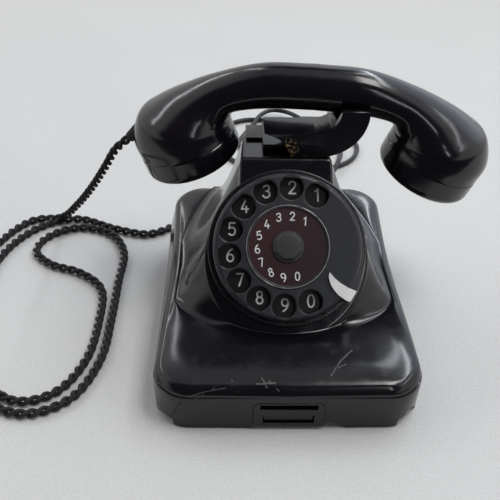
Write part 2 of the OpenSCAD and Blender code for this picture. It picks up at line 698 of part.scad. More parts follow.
module guide_bushes() color("#b08d48") at_case() for (x = rod_x) translate([x, rod_y, 0]) difference() {
  union() {
    disc(bush_r, bush_z, neck_z, 48);
    disc(bush_r + 2, neck_z - case_wall - 2, neck_z - case_wall - 0.5, 48);
  }
  disc(rod_r + run_gap, bush_z - 1, neck_z + 1, 48);
}

module cradle_spring() color("#8f9296") at_case() translate([rod_x[1], rod_y, 0])
  pipe(rod_r + 1.7, rod_r + 0.6, spring_floor + 0.1, collar_z - 0.1, 48);

ear_y = 31;
module hook_bracket() color("#8d8a84") at_case() difference() {
  union() {
    block([-bracket_x, bracket_y, spring_floor - 14], [bracket_x, bracket_y + 1.5, neck_z - 6]);
    block([lever_x - 5, bracket_y, lever_z - 4], [0, bracket_y + 1.5, lever_z + 4]);
    block([rod_x[1] - 6, rod_y - 5, spring_floor - 1.5], [bracket_x, bracket_y, spring_floor]);
    block([lever_x - 5, ear_y, lever_z - 4], [lever_x - 3.6, bracket_y, lever_z + 4]);
    block([lever_x - 5, ear_y, lever_z - 4], [lever_x + 3, ear_y + 1.5, lever_z + 4]);
    for (x = [-12, 12], z = [spring_floor - 8, neck_z - 12])
      translate([x, bracket_y + 1.4, z]) rotate([-90, 0, 0]) disc(3.5, 0, neck_back - case_wall - 1.6 - bracket_y, 32);
  }
  translate([lever_x, ear_y - 1, lever_z]) rotate([-90, 0, 0]) cylinder(r = lever_pin_r, h = 30, $fn = 32);
}

module lever_pin() color("#b9b4a8") at_case() translate([lever_x, ear_y - 0.5, lever_z]) rotate([-90, 0, 0])
  cylinder(r = lever_pin_r, h = bracket_y + 2 - ear_y, $fn = 32);

module hook_lever() color("#8f9296") at_case() difference() {
  union() {
    translate([lever_x, rod_y - 2.5, lever_z]) rotate([-90, 0, 0]) cylinder(r = 3.2, h = 5, $fn = 48);
    block([lever_x, rod_y - 2.5, lever_z - 1.2], [rod_x[0] + 3, rod_y + 2.5, lever_z + 1.2]);
  }
  translate([lever_x, rod_y - 5, lever_z]) rotate([-90, 0, 0])
    cylinder(r = lever_pin_r + run_gap, h = 10, $fn = 32);
}

module hook_contacts() color("#b89a5a") at_case() {
  low = spring_floor - 9;
  block([12, rod_y - 3, low], [bracket_x - 1, bracket_y, spring_floor - 1.6]);
  for (i = [0:2]) block([lever_x + 6, rod_y - 2, low + 1 + i * 2], [12, rod_y + 2, low + 1.5 + i * 2]);
}

// ---------------------------------------------------------------- bell set and circuit

module gong_shape() {
  top = gong_z + gong_h;
  outer = concat([[gong_r, gong_z], [gong_r - 0.6, gong_z + 6]],
    arc_points([gong_r - 8.6, top - 8], 8, 0, 90, 6), [[0, top]]);
  inner = concat([[0, top - gong_t]], arc_points([gong_r - 8.6, top - 8], 8 - gong_t, 90, 0, 6),
    [[gong_r - 0.6 - gong_t, gong_z + 6], [gong_r - gong_t, gong_z]]);
  polygon(concat(outer, inner));
}

module bell_gongs() color("#c4c3bd") at_case() for (s = [-1, 1]) translate([s * gong_x, gong_y, 0]) difference() {
  rotate_extrude($fn = 96) gong_shape();
  disc(2.1, gong_z, gong_z + gong_h + 1, 32);
}

module bell_posts() color("#8d8a84") at_case() for (s = [-1, 1]) translate([s * gong_x, gong_y, 0]) {
  disc(5, floor_z, floor_z + 2, 32);
  disc(3.5, floor_z, gong_z + gong_h - gong_t, 32);
}

module gong_screws() color("#8d8a84") at_case() for (s = [-1, 1]) translate([s * gong_x, gong_y, 0]) difference() {
  union() {
    disc(2, gong_z + gong_h - gong_t, gong_z + gong_h + 0.1, 32);
    disc(4, gong_z + gong_h, gong_z + gong_h + 2, 32);
  }
  block([-5, -0.5, gong_z + gong_h + 1], [5, 0.5, gong_z + gong_h + 3]);
}

module ringer_frame() color("#77797b") at_case() difference() {
  union() {
    block([-22, ringer_y - 2, floor_z], [22, ringer_y, coil_z + 10]);
    block([-22, ringer_y - 2, floor_z], [22, pivot_y + 4, floor_z + 1.5]);
    block([-3, ringer_y - 2, coil_z + 8.5], [3, pivot_y + 4, coil_z + 10]);
  }
  translate([0, pivot_y, 0]) disc(1.2, 0, coil_z + 12, 32);
}

module ringer_coils() color("#7a3b22") at_case() for (s = [-1, 1])
  translate([s * coil_x, ringer_y, coil_z]) rotate([-90, 0, 0]) {
    disc(8.2, 0, 1, 48);
    disc(7.4, 1, 19, 48);
    disc(8.2, 19, 20, 48);
    disc(3.2, 20, 22, 32);
  }

module clapper_pin() color("#b9b4a8") at_case() translate([0, pivot_y, 0]) disc(1.2, floor_z + 0.1, coil_z + 10.4, 32);

module clapper() color("#a8a294") at_case() difference() {
  union() {
    block([-14, pivot_y - 1, coil_z - 4], [14, pivot_y + 1, coil_z + 4]);
    translate([0, pivot_y, 0]) disc(2.4, coil_z - 5, coil_z + 7, 32);
    translate([0, pivot_y, coil_z + 5]) rotate([-90, 0, 0]) cylinder(r = 1, h = gong_y - pivot_y, $fn = 24);
    translate([0, gong_y, coil_z + 5]) sphere(r = 3.2, $fn = 32);
  }
  translate([0, pivot_y, 0]) disc(1.2 + run_gap, 0, coil_z + 20, 32);
}

module induction_coil() color("#6b4a2c") at_case() translate([-side_x, side_y, floor_z]) {
  block([-17, -13, 0], [17, 13, 4]);
  block([-17, -13, 4], [-13, 13, 20]);
  block([13, -13, 4], [17, 13, 20]);
  translate([-13, 0, 12]) rotate([0, 90, 0]) disc(8.6, 0, 26, 48);
}

module capacitor() color("#9c9c98") at_case() translate([side_x, side_y, floor_z]) {
  block([-13, -20, 0], [13, 20, 18]);
  for (x = [-6, 6]) translate([x, 14, 0]) disc(1.6, 18, 21, 24);
}

module terminal_block() color("#5a3820") at_case() translate([0, block_y, floor_z]) {
  block([-28, -8, 0], [28, 8, 8]);
  for (i = [0:5]) translate([-22.5 + i * 9, 0, 0]) disc(2.6, 8, 10.5, 32);
}

// ---------------------------------------------------------------- handset

// Control sections of the handset's right half: outer point, inner point, half width
cup_u = [cos(cup_tilt), -sin(cup_tilt)];
cup_c = [cup_x, cup_z];
cup_out = cup_c + cap_r * cup_u;
cup_in = cup_c - cap_r * cup_u;
sections = [
  [[0, grip_h / 2], [0, -grip_h / 2], grip_w / 2],
  [[32, grip_h / 2 - 1.5], [27, -grip_h / 2 - 1], grip_w / 2],
  [[61, 3.5], [47, -18], grip_w / 2 + 1.5],
  [[85.5, -8.3], [50.2, -21.3], 20.5],
  [cup_out + [-7.6, 35.7], cup_in + [2.6, 7.2], cap_r - 5.5],
  [cup_out + [1.3, 27.4], cup_in + [1.9, 5.2], cap_r - 2],
  [cup_out + [4.4, 12.4], cup_in + [1.1, 2.8], cap_r - 0.6],
  [cup_out, cup_in, cap_r]];
section_steps = 2;
ring_n = 24;

// One ring of the handset, from its outer and inner points and its half width
function ring_points(side, o, i, w) = let (c = (o + i) / 2, h = (o - i) / 2)
  [for (k = [0:ring_n - 1]) let (a = 360 * k / ring_n)
    [side * (c.x + h.x * cos(a)), w * sin(a), c.y + h.y * cos(a)]];

half_sections = spline([for (s = sections) [s[0].x, s[0].y, s[1].x, s[1].y, s[2]]], section_steps);
chamber = [[0, chamber_r], [10, chamber_r - 1], [18, 18], [18, 6]];
channel = [[[72, -8], [66, -17.5]], [[38, 1.5], [36, -8]], [[0, 5], [0, -5]]];

// Inside of the right half, from the rim up into the chamber and along the cable channel
inner_half = concat(
  [for (c = chamber) let (m = cup_c + c[0] * [sin(cup_tilt), cos(cup_tilt)]) [m + c[1] * cup_u, m - c[1] * cup_u, c[1]]],
  [for (c = channel) [c[0], c[1], 5]]);

module handset_shell() color("#1b1c1f") at_handset() {
  right_out = [for (s = half_sections) [[s[0], s[1]], [s[2], s[3]], s[4]]];
  n_out = len(right_out);
  n_in = len(inner_half);
  // left rim to right rim outside, then right rim to left rim inside
  rings = concat(
    [for (j = [n_out - 1:-1:1]) let (s = right_out[j]) ring_points(-1, s[0], s[1], s[2])],
    [for (s = right_out) ring_points(1, s[0], s[1], s[2])],
    [for (s = inner_half) ring_points(1, s[0], s[1], s[2])],
    [for (j = [n_in - 2:-1:0]) let (s = inner_half[j]) ring_points(-1, s[0], s[1], s[2])]);
  // on the left the rings run the other way round, so both halves start at the outer edge
  polyhedron(points = [for (r = rings) each r], faces = torus_faces(len(rings), ring_n));
}

module cap_shape() rotate_extrude($fn = 96) polygon(concat(
  [[chamber_r - 2.4, -6], [chamber_r - thread_gap - 0.6, -6], [chamber_r - thread_gap - 0.6, 0.1], [cap_r, 0.1], [cap_r, cap_h - 6]],
  arc_points([cap_r - 6, cap_h - 6], 6, 0, 75, 6),
  [[cap_r - 8, cap_h], [cap_r - 9, cap_h - 1.2], [0, cap_h - 1.2], [0, cap_h - 4.2], [chamber_r - 4, cap_h - 4.2], [chamber_r - 2.4, cap_h - 6]]));

// Sound holes: rings of small holes, each given as radius and count
module sound_holes(rings, d) for (r = rings, i = [0:r[1] - 1])
  rotate([0, 0, 360 / r[1] * i]) translate([r[0], 0, 0]) disc(d / 2, cap_h - 6, cap_h + 1, 16);

module ear_cap() color("#1b1c1f") at_cup(1) difference() {
  cap_shape();
  sound_holes([[0, 1], [7, 6]], 3);
}

module mouth_cap() color("#1b1c1f") at_cup(-1) difference() {
  cap_shape();
  sound_holes([[0, 1], [6, 6], [12, 12]], 2.4);
}

module capsule(face) {
  disc(chamber_r - 3, -5, cap_h - 6.5, 64);
  disc(chamber_r - 9, -9, -5, 64);
  disc(face, cap_h - 6.5, cap_h - 5.2, 48);
}

module receiver_capsule() color("#a3a3a0") at_cup(1) capsule(12);
module transmitter_capsule() color("#8b8b88") at_cup(-1) capsule(18);

// ---------------------------------------------------------------- cords

// Route of the handset cord, from the handset's gland to the gland in the back wall
hcord_z = 3;
hcord_route = [
  [-99.2, 54, 110.9], [-103, 54.5, 107], [-109.5, 59, 98.5], [-118, 69, 80], [-131, 86, 53], [-146, 105, 26],
  [-161, 119, 6], [-184, 118, 3], [-203, 89, 3], [-212, 50, 3], [-212, 8, 3],
  [-204, -36, 3], [-185, -70, 3], [-156, -85, 3], [-129, -72, 3], [-115, -38, 3],
  [-112, 2, 3], [-111, 42, 3], [-110, 76, 3], [-122, 101, 3], [-147, 109, 3],
  [-168, 97, 3], [-174, 78, 3], [-161, 62, 3], [-139, 52, 3], [-122, 33, 3],
  [-120, 0, 3], [-124, -38, 3], [-139, -67, 3], [-164, -74, 3], [-189, -50, 3],
  [-202, -14, 3], [-204, 30, 3], [-197, 76, 3], [-178, 108, 3], [-150, 121, 3],
  [-120, 108, 3], [-97, 101, 3], [-83, 106, 3],
  [-73, 114, 3], [-62, 119, 4.5], [-53.5, 115.5, 7.5], [-50, 107, 9.6], [-50, 101.2, 10]];

// Route of the line cord's loose turns, from the gland in the back wall to the coil
lcord_route = [
  [-30, 101, 10], [-30, 112, 8], [-30, 127, 3], [-26, 148, 2], [-17, 172, 2], [-15, 196, 2],
  [-27, 213, 2], [-40, 230, 2], [-43, 255, 2], [-32, 279, 2], [-15, 290, 2], [8, 289, 2],
  [34, 288, 2], [60, 278, 2], [77, 260, 2], [82, 238, 2], [73, 216, 2], [52, 202, 2],
  [26, 198, 2], [3, 207, 2], [-13, 223, 2], [-23, 243, 2], [-17, 262, 2.4], [-9, 276, 5],
  [-2, 291, 6.6], [9, 302, 6.2], [22, 299, 6.2], [33, 287, 6.8], [44, 274, 4.4], [58, 262, 2],
  [66, 246, 2], [66, 228, 3], [62, 208, 6.6], [54, 191, 4], [43, 183, 2.4], [32, 179, 2.4],
  [27, 171, 2.4], [32.5, 163.8, 2.76], [40, 163, 2.8]];

// Coil of the rest of the line cord: flat spiral in, up a layer, and out again
coil_c = [44, 135];
coil_out = 28;
coil_pitch = lcord_d + 0.6;
coil_turns = 3;
coil_low = 2.8;
coil_step = lcord_d + 0.6;
coil_rings = 24;
coil_sides = 6;
// Turn number n runs clockwise from the far side: in on the lower layer, up over half a turn, and out
// on the upper one
coil_mid = coil_turns + 0.5;
function coil_down(n) = n <= coil_mid ? n : n <= coil_mid + 0.5 ? coil_mid - 2 * (n - coil_mid) : 2 * coil_turns + 0.5 - n;
function coil_point(n) =
  let (a = 90 - 360 * n, r = coil_out - coil_pitch * coil_down(n), rise = clamp01(2 * (n - coil_turns)))
  [coil_c.x + r * cos(a), coil_c.y + r * sin(a), coil_low + coil_step * rise];
coil_last = 2 * coil_turns + 0.75;
coil_route = concat(
  [coil_point(0) - [lcord_d, 0, 0]],
  [for (i = [0:coil_last * coil_rings]) coil_point(i / coil_rings)],
  [coil_point(coil_last) + [0, lcord_d, 0]]);
// Least distance between stretches of the coil that are more than a third of a turn apart, less the cord
coil_gap = min([for (i = [0:len(coil_route) - 1], j = [i + 8:len(coil_route) - 1]) norm(coil_route[i] - coil_route[j])]) - lcord_d;
echo(coil_least_gap = coil_gap);

// Short length from the coil to the plug
ltail_route = [
  [14.85, 139, 7.4], [14.6, 143, 7.4], [12, 149.5, 7.4], [7, 157, 7.6], [-1, 162, 7.8], [-9, 158, 8], [-12, 149, 8]];

// A cord's route, smoothed and kept on top of the table
function lying(route, d, n) = [for (p = spline(route, n)) [p.x, p.y, max(p.z, d / 2 + 0.1)]];

module handset_cord() color("#1d1d1f") at_case() tube(lying(hcord_route, hcord_d, 2), hcord_d, 10);
module line_cord() color("#1b1b1d") at_case() tube(lying(lcord_route, lcord_d, 2), lcord_d, 8);
module line_coil() color("#1b1b1d") at_case() tube(coil_route, lcord_d, coil_sides);
module line_tail() color("#1b1b1d") at_case() tube(spline(ltail_route, 3), lcord_d, 8);

// Gland on the left cup's outer side, pointing down and out
gland_at = sections[6][0];
module handset_gland() color("#161616") at_handset() translate([-gland_at.x, 0, gland_at.y]) {
  d = [-cos(gland_drop), 0, -sin(gland_drop)];
  rod_between(-4.5 * d, gland_len * d, hcord_d / 2 + 1.6, hcord_d / 2 + 0.4);
}

// A gland in the back wall: a collar outside, a neck through the wall and a nut inside
module rear_gland(x, r) translate([x, back_y, gland_z]) rotate([-90, 0, 0]) difference() {
  union() {
    disc(r + 1.8, 0.1, 2, 48);
    disc(r, -case_wall - foot_in / 2 - 2.2, gland_out - 0.1, 48);
    disc(r + 1.4, -case_wall - foot_in / 2 - 2.2, -case_wall - foot_in / 2, 6);
  }
  disc(r - 2, -case_wall - foot_in / 2 - 4, gland_out - 3, 32);
}
module rear_handset_gland() color("#161616") at_case() rear_gland(hgland_x, hcord_d / 2 + 2);
module rear_line_gland() color("#161616") at_case() rear_gland(lgland_x, lcord_d / 2 + 2);

// Plug at the end of the line cord, lying on its side behind the case
plug_c = [-12, 131.5, 8];
module line_plug() color("#1f1f21") at_case() translate(plug_c) difference() {
  union() {
    block([-11, -17, -8], [11, 9, 8]);
    translate([0, 9, 0]) rotate([-90, 0, 0]) cylinder(r1 = 7.8, r2 = 4, h = 8.4, $fn = 48);
  }
  for (x = [-6, 0, 6]) translate([x, -17.1, 0]) rotate([-90, 0, 0]) cylinder(r = 2, h = 6, $fn = 32);
}
module plug_pins() color("#c2a76a") at_case() translate(plug_c)
  for (x = [-6, 0, 6]) translate([x, -29, 0]) rotate([-90, 0, 0]) cylinder(r = 2, h = 17.9, $fn = 32);

// Tie round the coil's turns, on its far side
module line_tie() color("#2b2b2b") at_case() translate([coil_c.x, coil_c.y, 0]) {
  mid = coil_out - coil_pitch * coil_turns / 2;
  half = coil_pitch * coil_turns / 2 + lcord_d / 2 + 0.3;
  top = coil_low + coil_step + lcord_d / 2 + 0.3;
  rotate([0, 0, 150]) translate([mid, 0, 0]) difference() {
    block([-half - 0.6, -2, 0.1], [half + 0.6, 2, top + 0.6]);
    block([-half, -3, 0.7], [half, 3, top]);
  }
}

// ---------------------------------------------------------------- nodes

case_shell();
base_plate();
rubber_feet();
base_screws();
front_key_frame();
front_key();
key_contacts();
dial_housing();
number_plate();
finger_stop();
dial_bridge();
return_spring();
pulse_contacts();
finger_wheel();
number_card();
card_ring();
centre_cap();
dial_shaft();
main_gear();
pulse_cam();
governor();
cradle();
cradle_rods();
guide_bushes();
cradle_spring();
hook_bracket();
lever_pin();
hook_lever();
hook_contacts();
bell_gongs();
bell_posts();
gong_screws();
ringer_frame();
ringer_coils();
clapper_pin();
clapper();
induction_coil();
capacitor();
terminal_block();
handset_shell();
ear_cap();
mouth_cap();
receiver_capsule();
transmitter_capsule();
handset_gland();
rear_handset_gland();
rear_line_gland();
handset_cord();
line_cord();
line_coil();
line_tail();
line_tie();
line_plug();
plug_pins();
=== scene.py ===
"""Dresses the frame of a dial desk telephone with moulded, enamelled, plated and woven parts.

Shapes are surfaces worked out with numpy from the sizes of the CAD source. Lengths inside the
shape functions are millimetres; the scene is in metres.
"""

import math

import bmesh
import bpy
import numpy as np
from bpy.props import FloatProperty, FloatVectorProperty, PointerProperty
from bpy.types import Operator, Panel, PropertyGroup
from mathutils import Matrix, Vector


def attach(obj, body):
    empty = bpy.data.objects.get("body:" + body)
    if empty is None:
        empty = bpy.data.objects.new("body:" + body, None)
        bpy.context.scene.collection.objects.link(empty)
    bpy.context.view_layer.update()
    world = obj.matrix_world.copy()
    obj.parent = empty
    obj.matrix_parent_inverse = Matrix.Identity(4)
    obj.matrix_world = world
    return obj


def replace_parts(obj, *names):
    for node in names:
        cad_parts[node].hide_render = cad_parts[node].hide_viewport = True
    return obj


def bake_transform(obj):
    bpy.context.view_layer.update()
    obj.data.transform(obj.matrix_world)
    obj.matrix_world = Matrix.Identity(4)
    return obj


bl_info = {
    "name": "Desk telephone",
    "version": (1, 0, 0),
    "blender": (4, 5, 0),
    "location": "3D View > Sidebar > Telephone",
    "description": "Dresses the frame of a dial desk telephone",
    "category": "Add Mesh",
}

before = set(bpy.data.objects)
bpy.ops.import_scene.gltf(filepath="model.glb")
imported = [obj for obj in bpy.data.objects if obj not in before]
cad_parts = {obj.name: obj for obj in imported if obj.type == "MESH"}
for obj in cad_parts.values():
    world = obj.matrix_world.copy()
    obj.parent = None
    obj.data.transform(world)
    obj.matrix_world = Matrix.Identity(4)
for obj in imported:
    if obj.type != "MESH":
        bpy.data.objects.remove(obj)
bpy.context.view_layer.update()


# ------------------------------------------------------------------ places

def toward(degrees):
    """The direction at an angle from X: its cosine and its sine."""
    return np.array([math.cos(math.radians(degrees)), math.sin(math.radians(degrees))])


def turn(axis, degrees):
    """A turn about X, Y or Z: the other two directions mix by the angle's cosine and sine."""
    c, s = toward(degrees)
    i, j = {"X": (1, 2), "Y": (2, 0), "Z": (0, 1)}[axis]
    m = np.eye(4)
    m[i, i] = m[j, j] = c
    m[i, j], m[j, i] = -s, s
    return m


def shift(x, y, z):
    """A move by x, y and z."""
    m = np.eye(4)
    m[:3, 3] = x, y, z
    return m


CASE = shift(-13.45, -2.85, 0)
DIAL_Y, DIAL_Z, DIAL_TILT = -21.2, 78.0, 40.0
DIAL = CASE @ shift(0, DIAL_Y, DIAL_Z) @ turn("X", 90 - DIAL_TILT)
# The handset lies between the cradle's horns, whose gap takes its turned grip with a little play
HANDSET_X, HANDSET_Z, HANDSET_TURN, HANDSET_TILT, HANDSET_ROLL = 16.8, 154.3, 5.7, 0.7, 2.5
CRADLE_FRONT, HORN_T, HORN_IN, HORN_OUT, GRIP_W, GRIP_PLAY = 18.3, 4.5, 32.0, 49.0, 28.0, 0.8
SLANT = math.radians(HANDSET_TURN)
HORN_GAP = GRIP_W / math.cos(SLANT) + (HORN_OUT - HORN_IN) * math.tan(SLANT) + GRIP_PLAY
HANDSET_Y = (CRADLE_FRONT + HORN_T + HORN_GAP / 2
             + ((HORN_IN + HORN_OUT) / 2 - HANDSET_X) * math.tan(SLANT))
HANDSET = (CASE @ shift(HANDSET_X, HANDSET_Y, HANDSET_Z)
           @ turn("Z", -HANDSET_TURN) @ turn("Y", HANDSET_TILT) @ turn("X", HANDSET_ROLL))
CUP_X, CUP_Z, CUP_TILT, CAP_R, CAP_H, CHAMBER_R = 78.5, -42.4, 21.0, 31.5, 16.0, 28.0


def cup(side):
    """The place of a cap: its Z points out of the cap's face; side is 1 on the right."""
    return HANDSET @ shift(side * CUP_X, 0, CUP_Z) @ turn("Y", 180 + side * CUP_TILT)


def put(place, points):
    """Points carried to a place: turned, then moved."""
    return np.asarray(points, float) @ place[:3, :3].T + place[:3, 3]


# ------------------------------------------------------------------ shapes

def around(sides):
    """Angles once round a circle."""
    return np.arange(sides) * 2 * np.pi / sides


def quarter(count):
    """Angles over a quarter circle, both ends among them."""
    return np.radians(np.linspace(0, 90, count))


def smooth_line(points, steps):
    """Catmull-Rom: between b and c, half of 2b + (c-a)t + (2a-5b+4c-d)t2 + (3b-a-3c+d)t3."""
    p = np.asarray(points, float)
    p = np.vstack([2 * p[:1] - p[1:2], p, 2 * p[-1:] - p[-2:-1]])
    a, b, c, d = (p[i:len(p) - 3 + i, None] for i in range(4))
    t = (np.arange(steps) / steps)[None, :, None]
    q = 0.5 * (2 * b + (c - a) * t + (2 * a - 5 * b + 4 * c - d) * t ** 2
               + (3 * b - a - 3 * c + d) * t ** 3)
    return np.vstack([q.reshape(-1, p.shape[1]), p[-2:-1]])


def evenly(path, step):
    """The path's points again, at equal distances along it of about the given step."""
    s = np.concatenate([[0], np.cumsum(np.linalg.norm(np.diff(path, axis=0), axis=1))])
    t = np.linspace(0, s[-1], max(2, round(s[-1] / step)) + 1)
    return np.stack([np.interp(t, s, path[:, k]) for k in range(path.shape[1])], 1), t


def crosswise(path):
    """Two directions across a path: one level, from the path's direction times Z, and one upward."""
    u = np.gradient(path, axis=0)
    u /= np.linalg.norm(u, axis=1, keepdims=True)
    s = np.cross(u, [0, 0, 1])
    s /= np.linalg.norm(s, axis=1, keepdims=True)
    return s, np.cross(s, u)


def rounded(corners, reach, steps=4, closed=True):
    """A polygon whose corners become curves: (1-t)2 A + 2t(1-t) C + t2 B, with A and B on the
    two sides of corner C at the given reach, and never past four tenths of a side."""
    c = np.asarray(corners, float)
    reach = np.full(len(c), float(reach))
    if not closed:
        reach[[0, -1]] = 0
    before, after = np.roll(c, 1, 0) - c, np.roll(c, -1, 0) - c
    lb, la = np.linalg.norm(before, axis=1), np.linalg.norm(after, axis=1)
    cut = np.minimum(reach, 0.4 * np.minimum(lb, la))[:, None]
    a = c + before / np.maximum(lb, 1e-9)[:, None] * cut
    b = c + after / np.maximum(la, 1e-9)[:, None] * cut
    t = (np.arange(steps + 1) / steps)[None, :, None]
    q = (1 - t) ** 2 * a[:, None] + 2 * t * (1 - t) * c[:, None] + t ** 2 * b[:, None]
    return q.reshape(-1, c.shape[1])


def turned(profile, angles):
    """A profile of radius and height through angles round Z: x = r cos a, y = r sin a, z = height."""
    r, z = np.asarray(profile, float).T
    level = np.repeat(z[:, None], len(angles), 1)
    return np.stack([r[:, None] * np.cos(angles), r[:, None] * np.sin(angles), level], -1)


def spun(profile, sides):
    """A profile turned once round Z."""
    return turned(profile, around(sides))


def arc(x, y, r, angles):
    """Points of an arc in a plane: x + r cos a, y + r sin a."""
    return np.c_[x + r * np.cos(angles), y + r * np.sin(angles)]


def carried(path, radii, sides, flat=1.0):
    """A round or flattened outline carried along a path: point + r cos a side + r flat sin a up,
    with a last point at each end that closes it."""
    s, v = crosswise(path)
    a = around(sides)
    r = np.broadcast_to(np.asarray(radii, float), len(path))[:, None, None]
    outline = np.cos(a)[None, :, None] * s[:, None] + flat * np.sin(a)[None, :, None] * v[:, None]
    ends = [np.repeat(p[None, None], sides, 1) for p in (path[0], path[-1])]
    return np.concatenate([ends[0], path[:, None] + r * outline, ends[1]])


def plate(outline, z0, z1):
    """An outline raised from z0 to z1: its points twice, a face at each end and quads between."""
    p, n = np.asarray(outline, float), len(outline)
    points = np.vstack([np.c_[p, np.full(n, z0)], np.c_[p, np.full(n, z1)]])
    side = [(k, (k + 1) % n, n + (k + 1) % n, n + k) for k in range(n)]
    return points, [tuple(range(n - 1, -1, -1)), tuple(range(n, 2 * n)), *side]


def bar(radius, z0, z1, sides=64):
    """A round bar from z0 to z1: a circle raised between its two ends."""
    return plate(arc(0, 0, radius, around(sides)), z0, z1)


class Skin:
    """Gathers grids of points and single faces, and makes one mesh of them."""

    def __init__(self, place=CASE):
        self.place, self.count = place, 0
        self.points, self.corners, self.totals, self.uv = [], [], [], []

    def grid(self, g, round_u=False, round_v=False, along=None):
        """Adds quads between neighbours of a grid of rows and columns; a round one closes on itself.
        The UV of a point is its distance along, in metres, and its share of the way round."""
        rows, cols = g.shape[:2]
        i = np.arange(rows - (not round_u))[:, None, None]
        j = np.arange(cols - (not round_v))[None, :, None]
        di, dj = np.array([0, 1, 1, 0]), np.array([0, 0, 1, 1])
        quads = ((i + di) % rows) * cols + (j + dj) % cols
        along = np.arange(rows + 1) / rows if along is None else np.append(along, along[-1])
        u = np.broadcast_to(along[i + di], quads.shape)
        v = np.broadcast_to((j + dj) / cols, quads.shape)
        uv = np.stack([u, v], -1).reshape(-1, 2)
        return self.faces(g.reshape(-1, 3), quads.reshape(-1, 4), uv)

    def faces(self, points, faces, uv=None):
        """Adds points and the faces between them, as an array of quads or a list of any faces."""
        corners = faces.ravel() if isinstance(faces, np.ndarray) else np.concatenate(faces)
        self.points.append(put(self.place, points))
        self.corners.append(corners + self.count)
        self.totals.append(np.array([len(f) for f in faces]))
        self.uv.append(np.zeros((len(corners), 2)) if uv is None else uv)
        self.count += len(points)
        return self

    def make(self, name, angle=35, merge=0.002):
        """Makes the object: doubles merged, faces turned outward, and edges sharp past an angle."""
        mesh = bpy.data.meshes.new(name)
        gathered = (self.points, self.corners, self.totals, self.uv)
        points, corners, totals, uv = (np.concatenate(x) for x in gathered)
        starts = np.concatenate([[0], np.cumsum(totals)[:-1]])
        mesh.vertices.add(len(points))
        mesh.vertices.foreach_set("co", (points * 0.001).ravel().astype(np.float32))
        mesh.loops.add(len(corners))
        mesh.loops.foreach_set("vertex_index", corners.astype(np.int32))
        mesh.polygons.add(len(totals))
        mesh.polygons.foreach_set("loop_start", starts.astype(np.int32))
        mesh.uv_layers.new(name="UVMap").data.foreach_set("uv", uv.ravel().astype(np.float32))
        mesh.update(calc_edges=True)
        return settle(mesh, name, angle, merge)


# ------------------------------------------------------------------ pieces

def shaded(mesh, angle):
    """Smooth faces, with edges sharp past an angle."""
    mesh.polygons.foreach_set("use_smooth", np.ones(len(mesh.polygons), bool))
    mesh.set_sharp_from_angle(angle=math.radians(angle))


def settle(mesh, name, angle, merge):
    """Merges a mesh's doubles, turns its faces outward and links it as an object at the origin."""
    work = bmesh.new()
    work.from_mesh(mesh)
    bmesh.ops.remove_doubles(work, verts=work.verts, dist=merge * 0.001)
    bmesh.ops.recalc_face_normals(work, faces=work.faces)
    work.to_mesh(mesh)
    work.free()
    shaded(mesh, angle)
    piece = bpy.data.objects.new(name, mesh)
    bpy.context.scene.collection.objects.link(piece)
    return piece


def copied(node, name, angle=35):
    """A copy of a CAD node's mesh, merged, to be finished as a piece of its own."""
    piece = settle(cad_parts[node].data.copy(), name, angle, 0.004)
    piece.data.materials.clear()
    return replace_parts(piece, node)


def eased(piece, width, steps=3, angle=30, chosen=None):
    """Rounds a piece's edges by a width in millimetres: all past an angle, or those whose middle,
    in millimetres, is chosen by a function of an array of points."""
    bevel = piece.modifiers.new("eased edges", "BEVEL")
    bevel.width, bevel.segments, bevel.angle_limit = width * 0.001, steps, math.radians(angle)
    bevel.miter_outer, bevel.use_clamp_overlap, bevel.harden_normals = "MITER_ARC", True, False
    if chosen:
        mesh = piece.data
        ends = np.empty(len(mesh.edges) * 2, np.int32)
        mesh.edges.foreach_get("vertices", ends)
        co = np.empty(len(mesh.vertices) * 3, np.float32)
        mesh.vertices.foreach_get("co", co)
        sharp = np.zeros(len(mesh.edges), bool)
        mesh.attributes["sharp_edge"].data.foreach_get("value", sharp)
        middle = co.reshape(-1, 3)[ends].reshape(-1, 2, 3).mean(1) * 1000
        weight = mesh.attributes.new("bevel_weight_edge", "FLOAT", "EDGE")
        weight.data.foreach_set("value", (sharp & chosen(middle)).astype(np.float32))
        bevel.limit_method = "WEIGHT"
    return piece


def cutter(*shapes):
    """One object of several closed shapes, each a place with its points and faces, to cut with."""
    skin = Skin(np.eye(4))
    for place, points, faces in shapes:
        skin.faces(put(place, points), faces)
    return skin.make("cutter", 30)


def carved(piece, tool, angle=35):
    """Takes a closed cutter out of a piece, drops the cutter and marks sharp edges again."""
    cut = piece.modifiers.new("cut", "BOOLEAN")
    cut.operation, cut.solver, cut.object = "DIFFERENCE", "EXACT", tool
    bpy.context.view_layer.update()
    result = piece.evaluated_get(bpy.context.evaluated_depsgraph_get())
    piece.data = bpy.data.meshes.new_from_object(result)
    piece.modifiers.clear()
    shaded(piece.data, angle)
    bpy.data.objects.remove(tool)
    return piece


def dressed(piece, body, slot, *nodes):
    """Gives a piece its body and hides the CAD nodes that it stands for. The slot is not used."""
    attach(piece, body)
    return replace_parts(piece, *nodes) if nodes else piece


# ------------------------------------------------------------------ tools for finishes

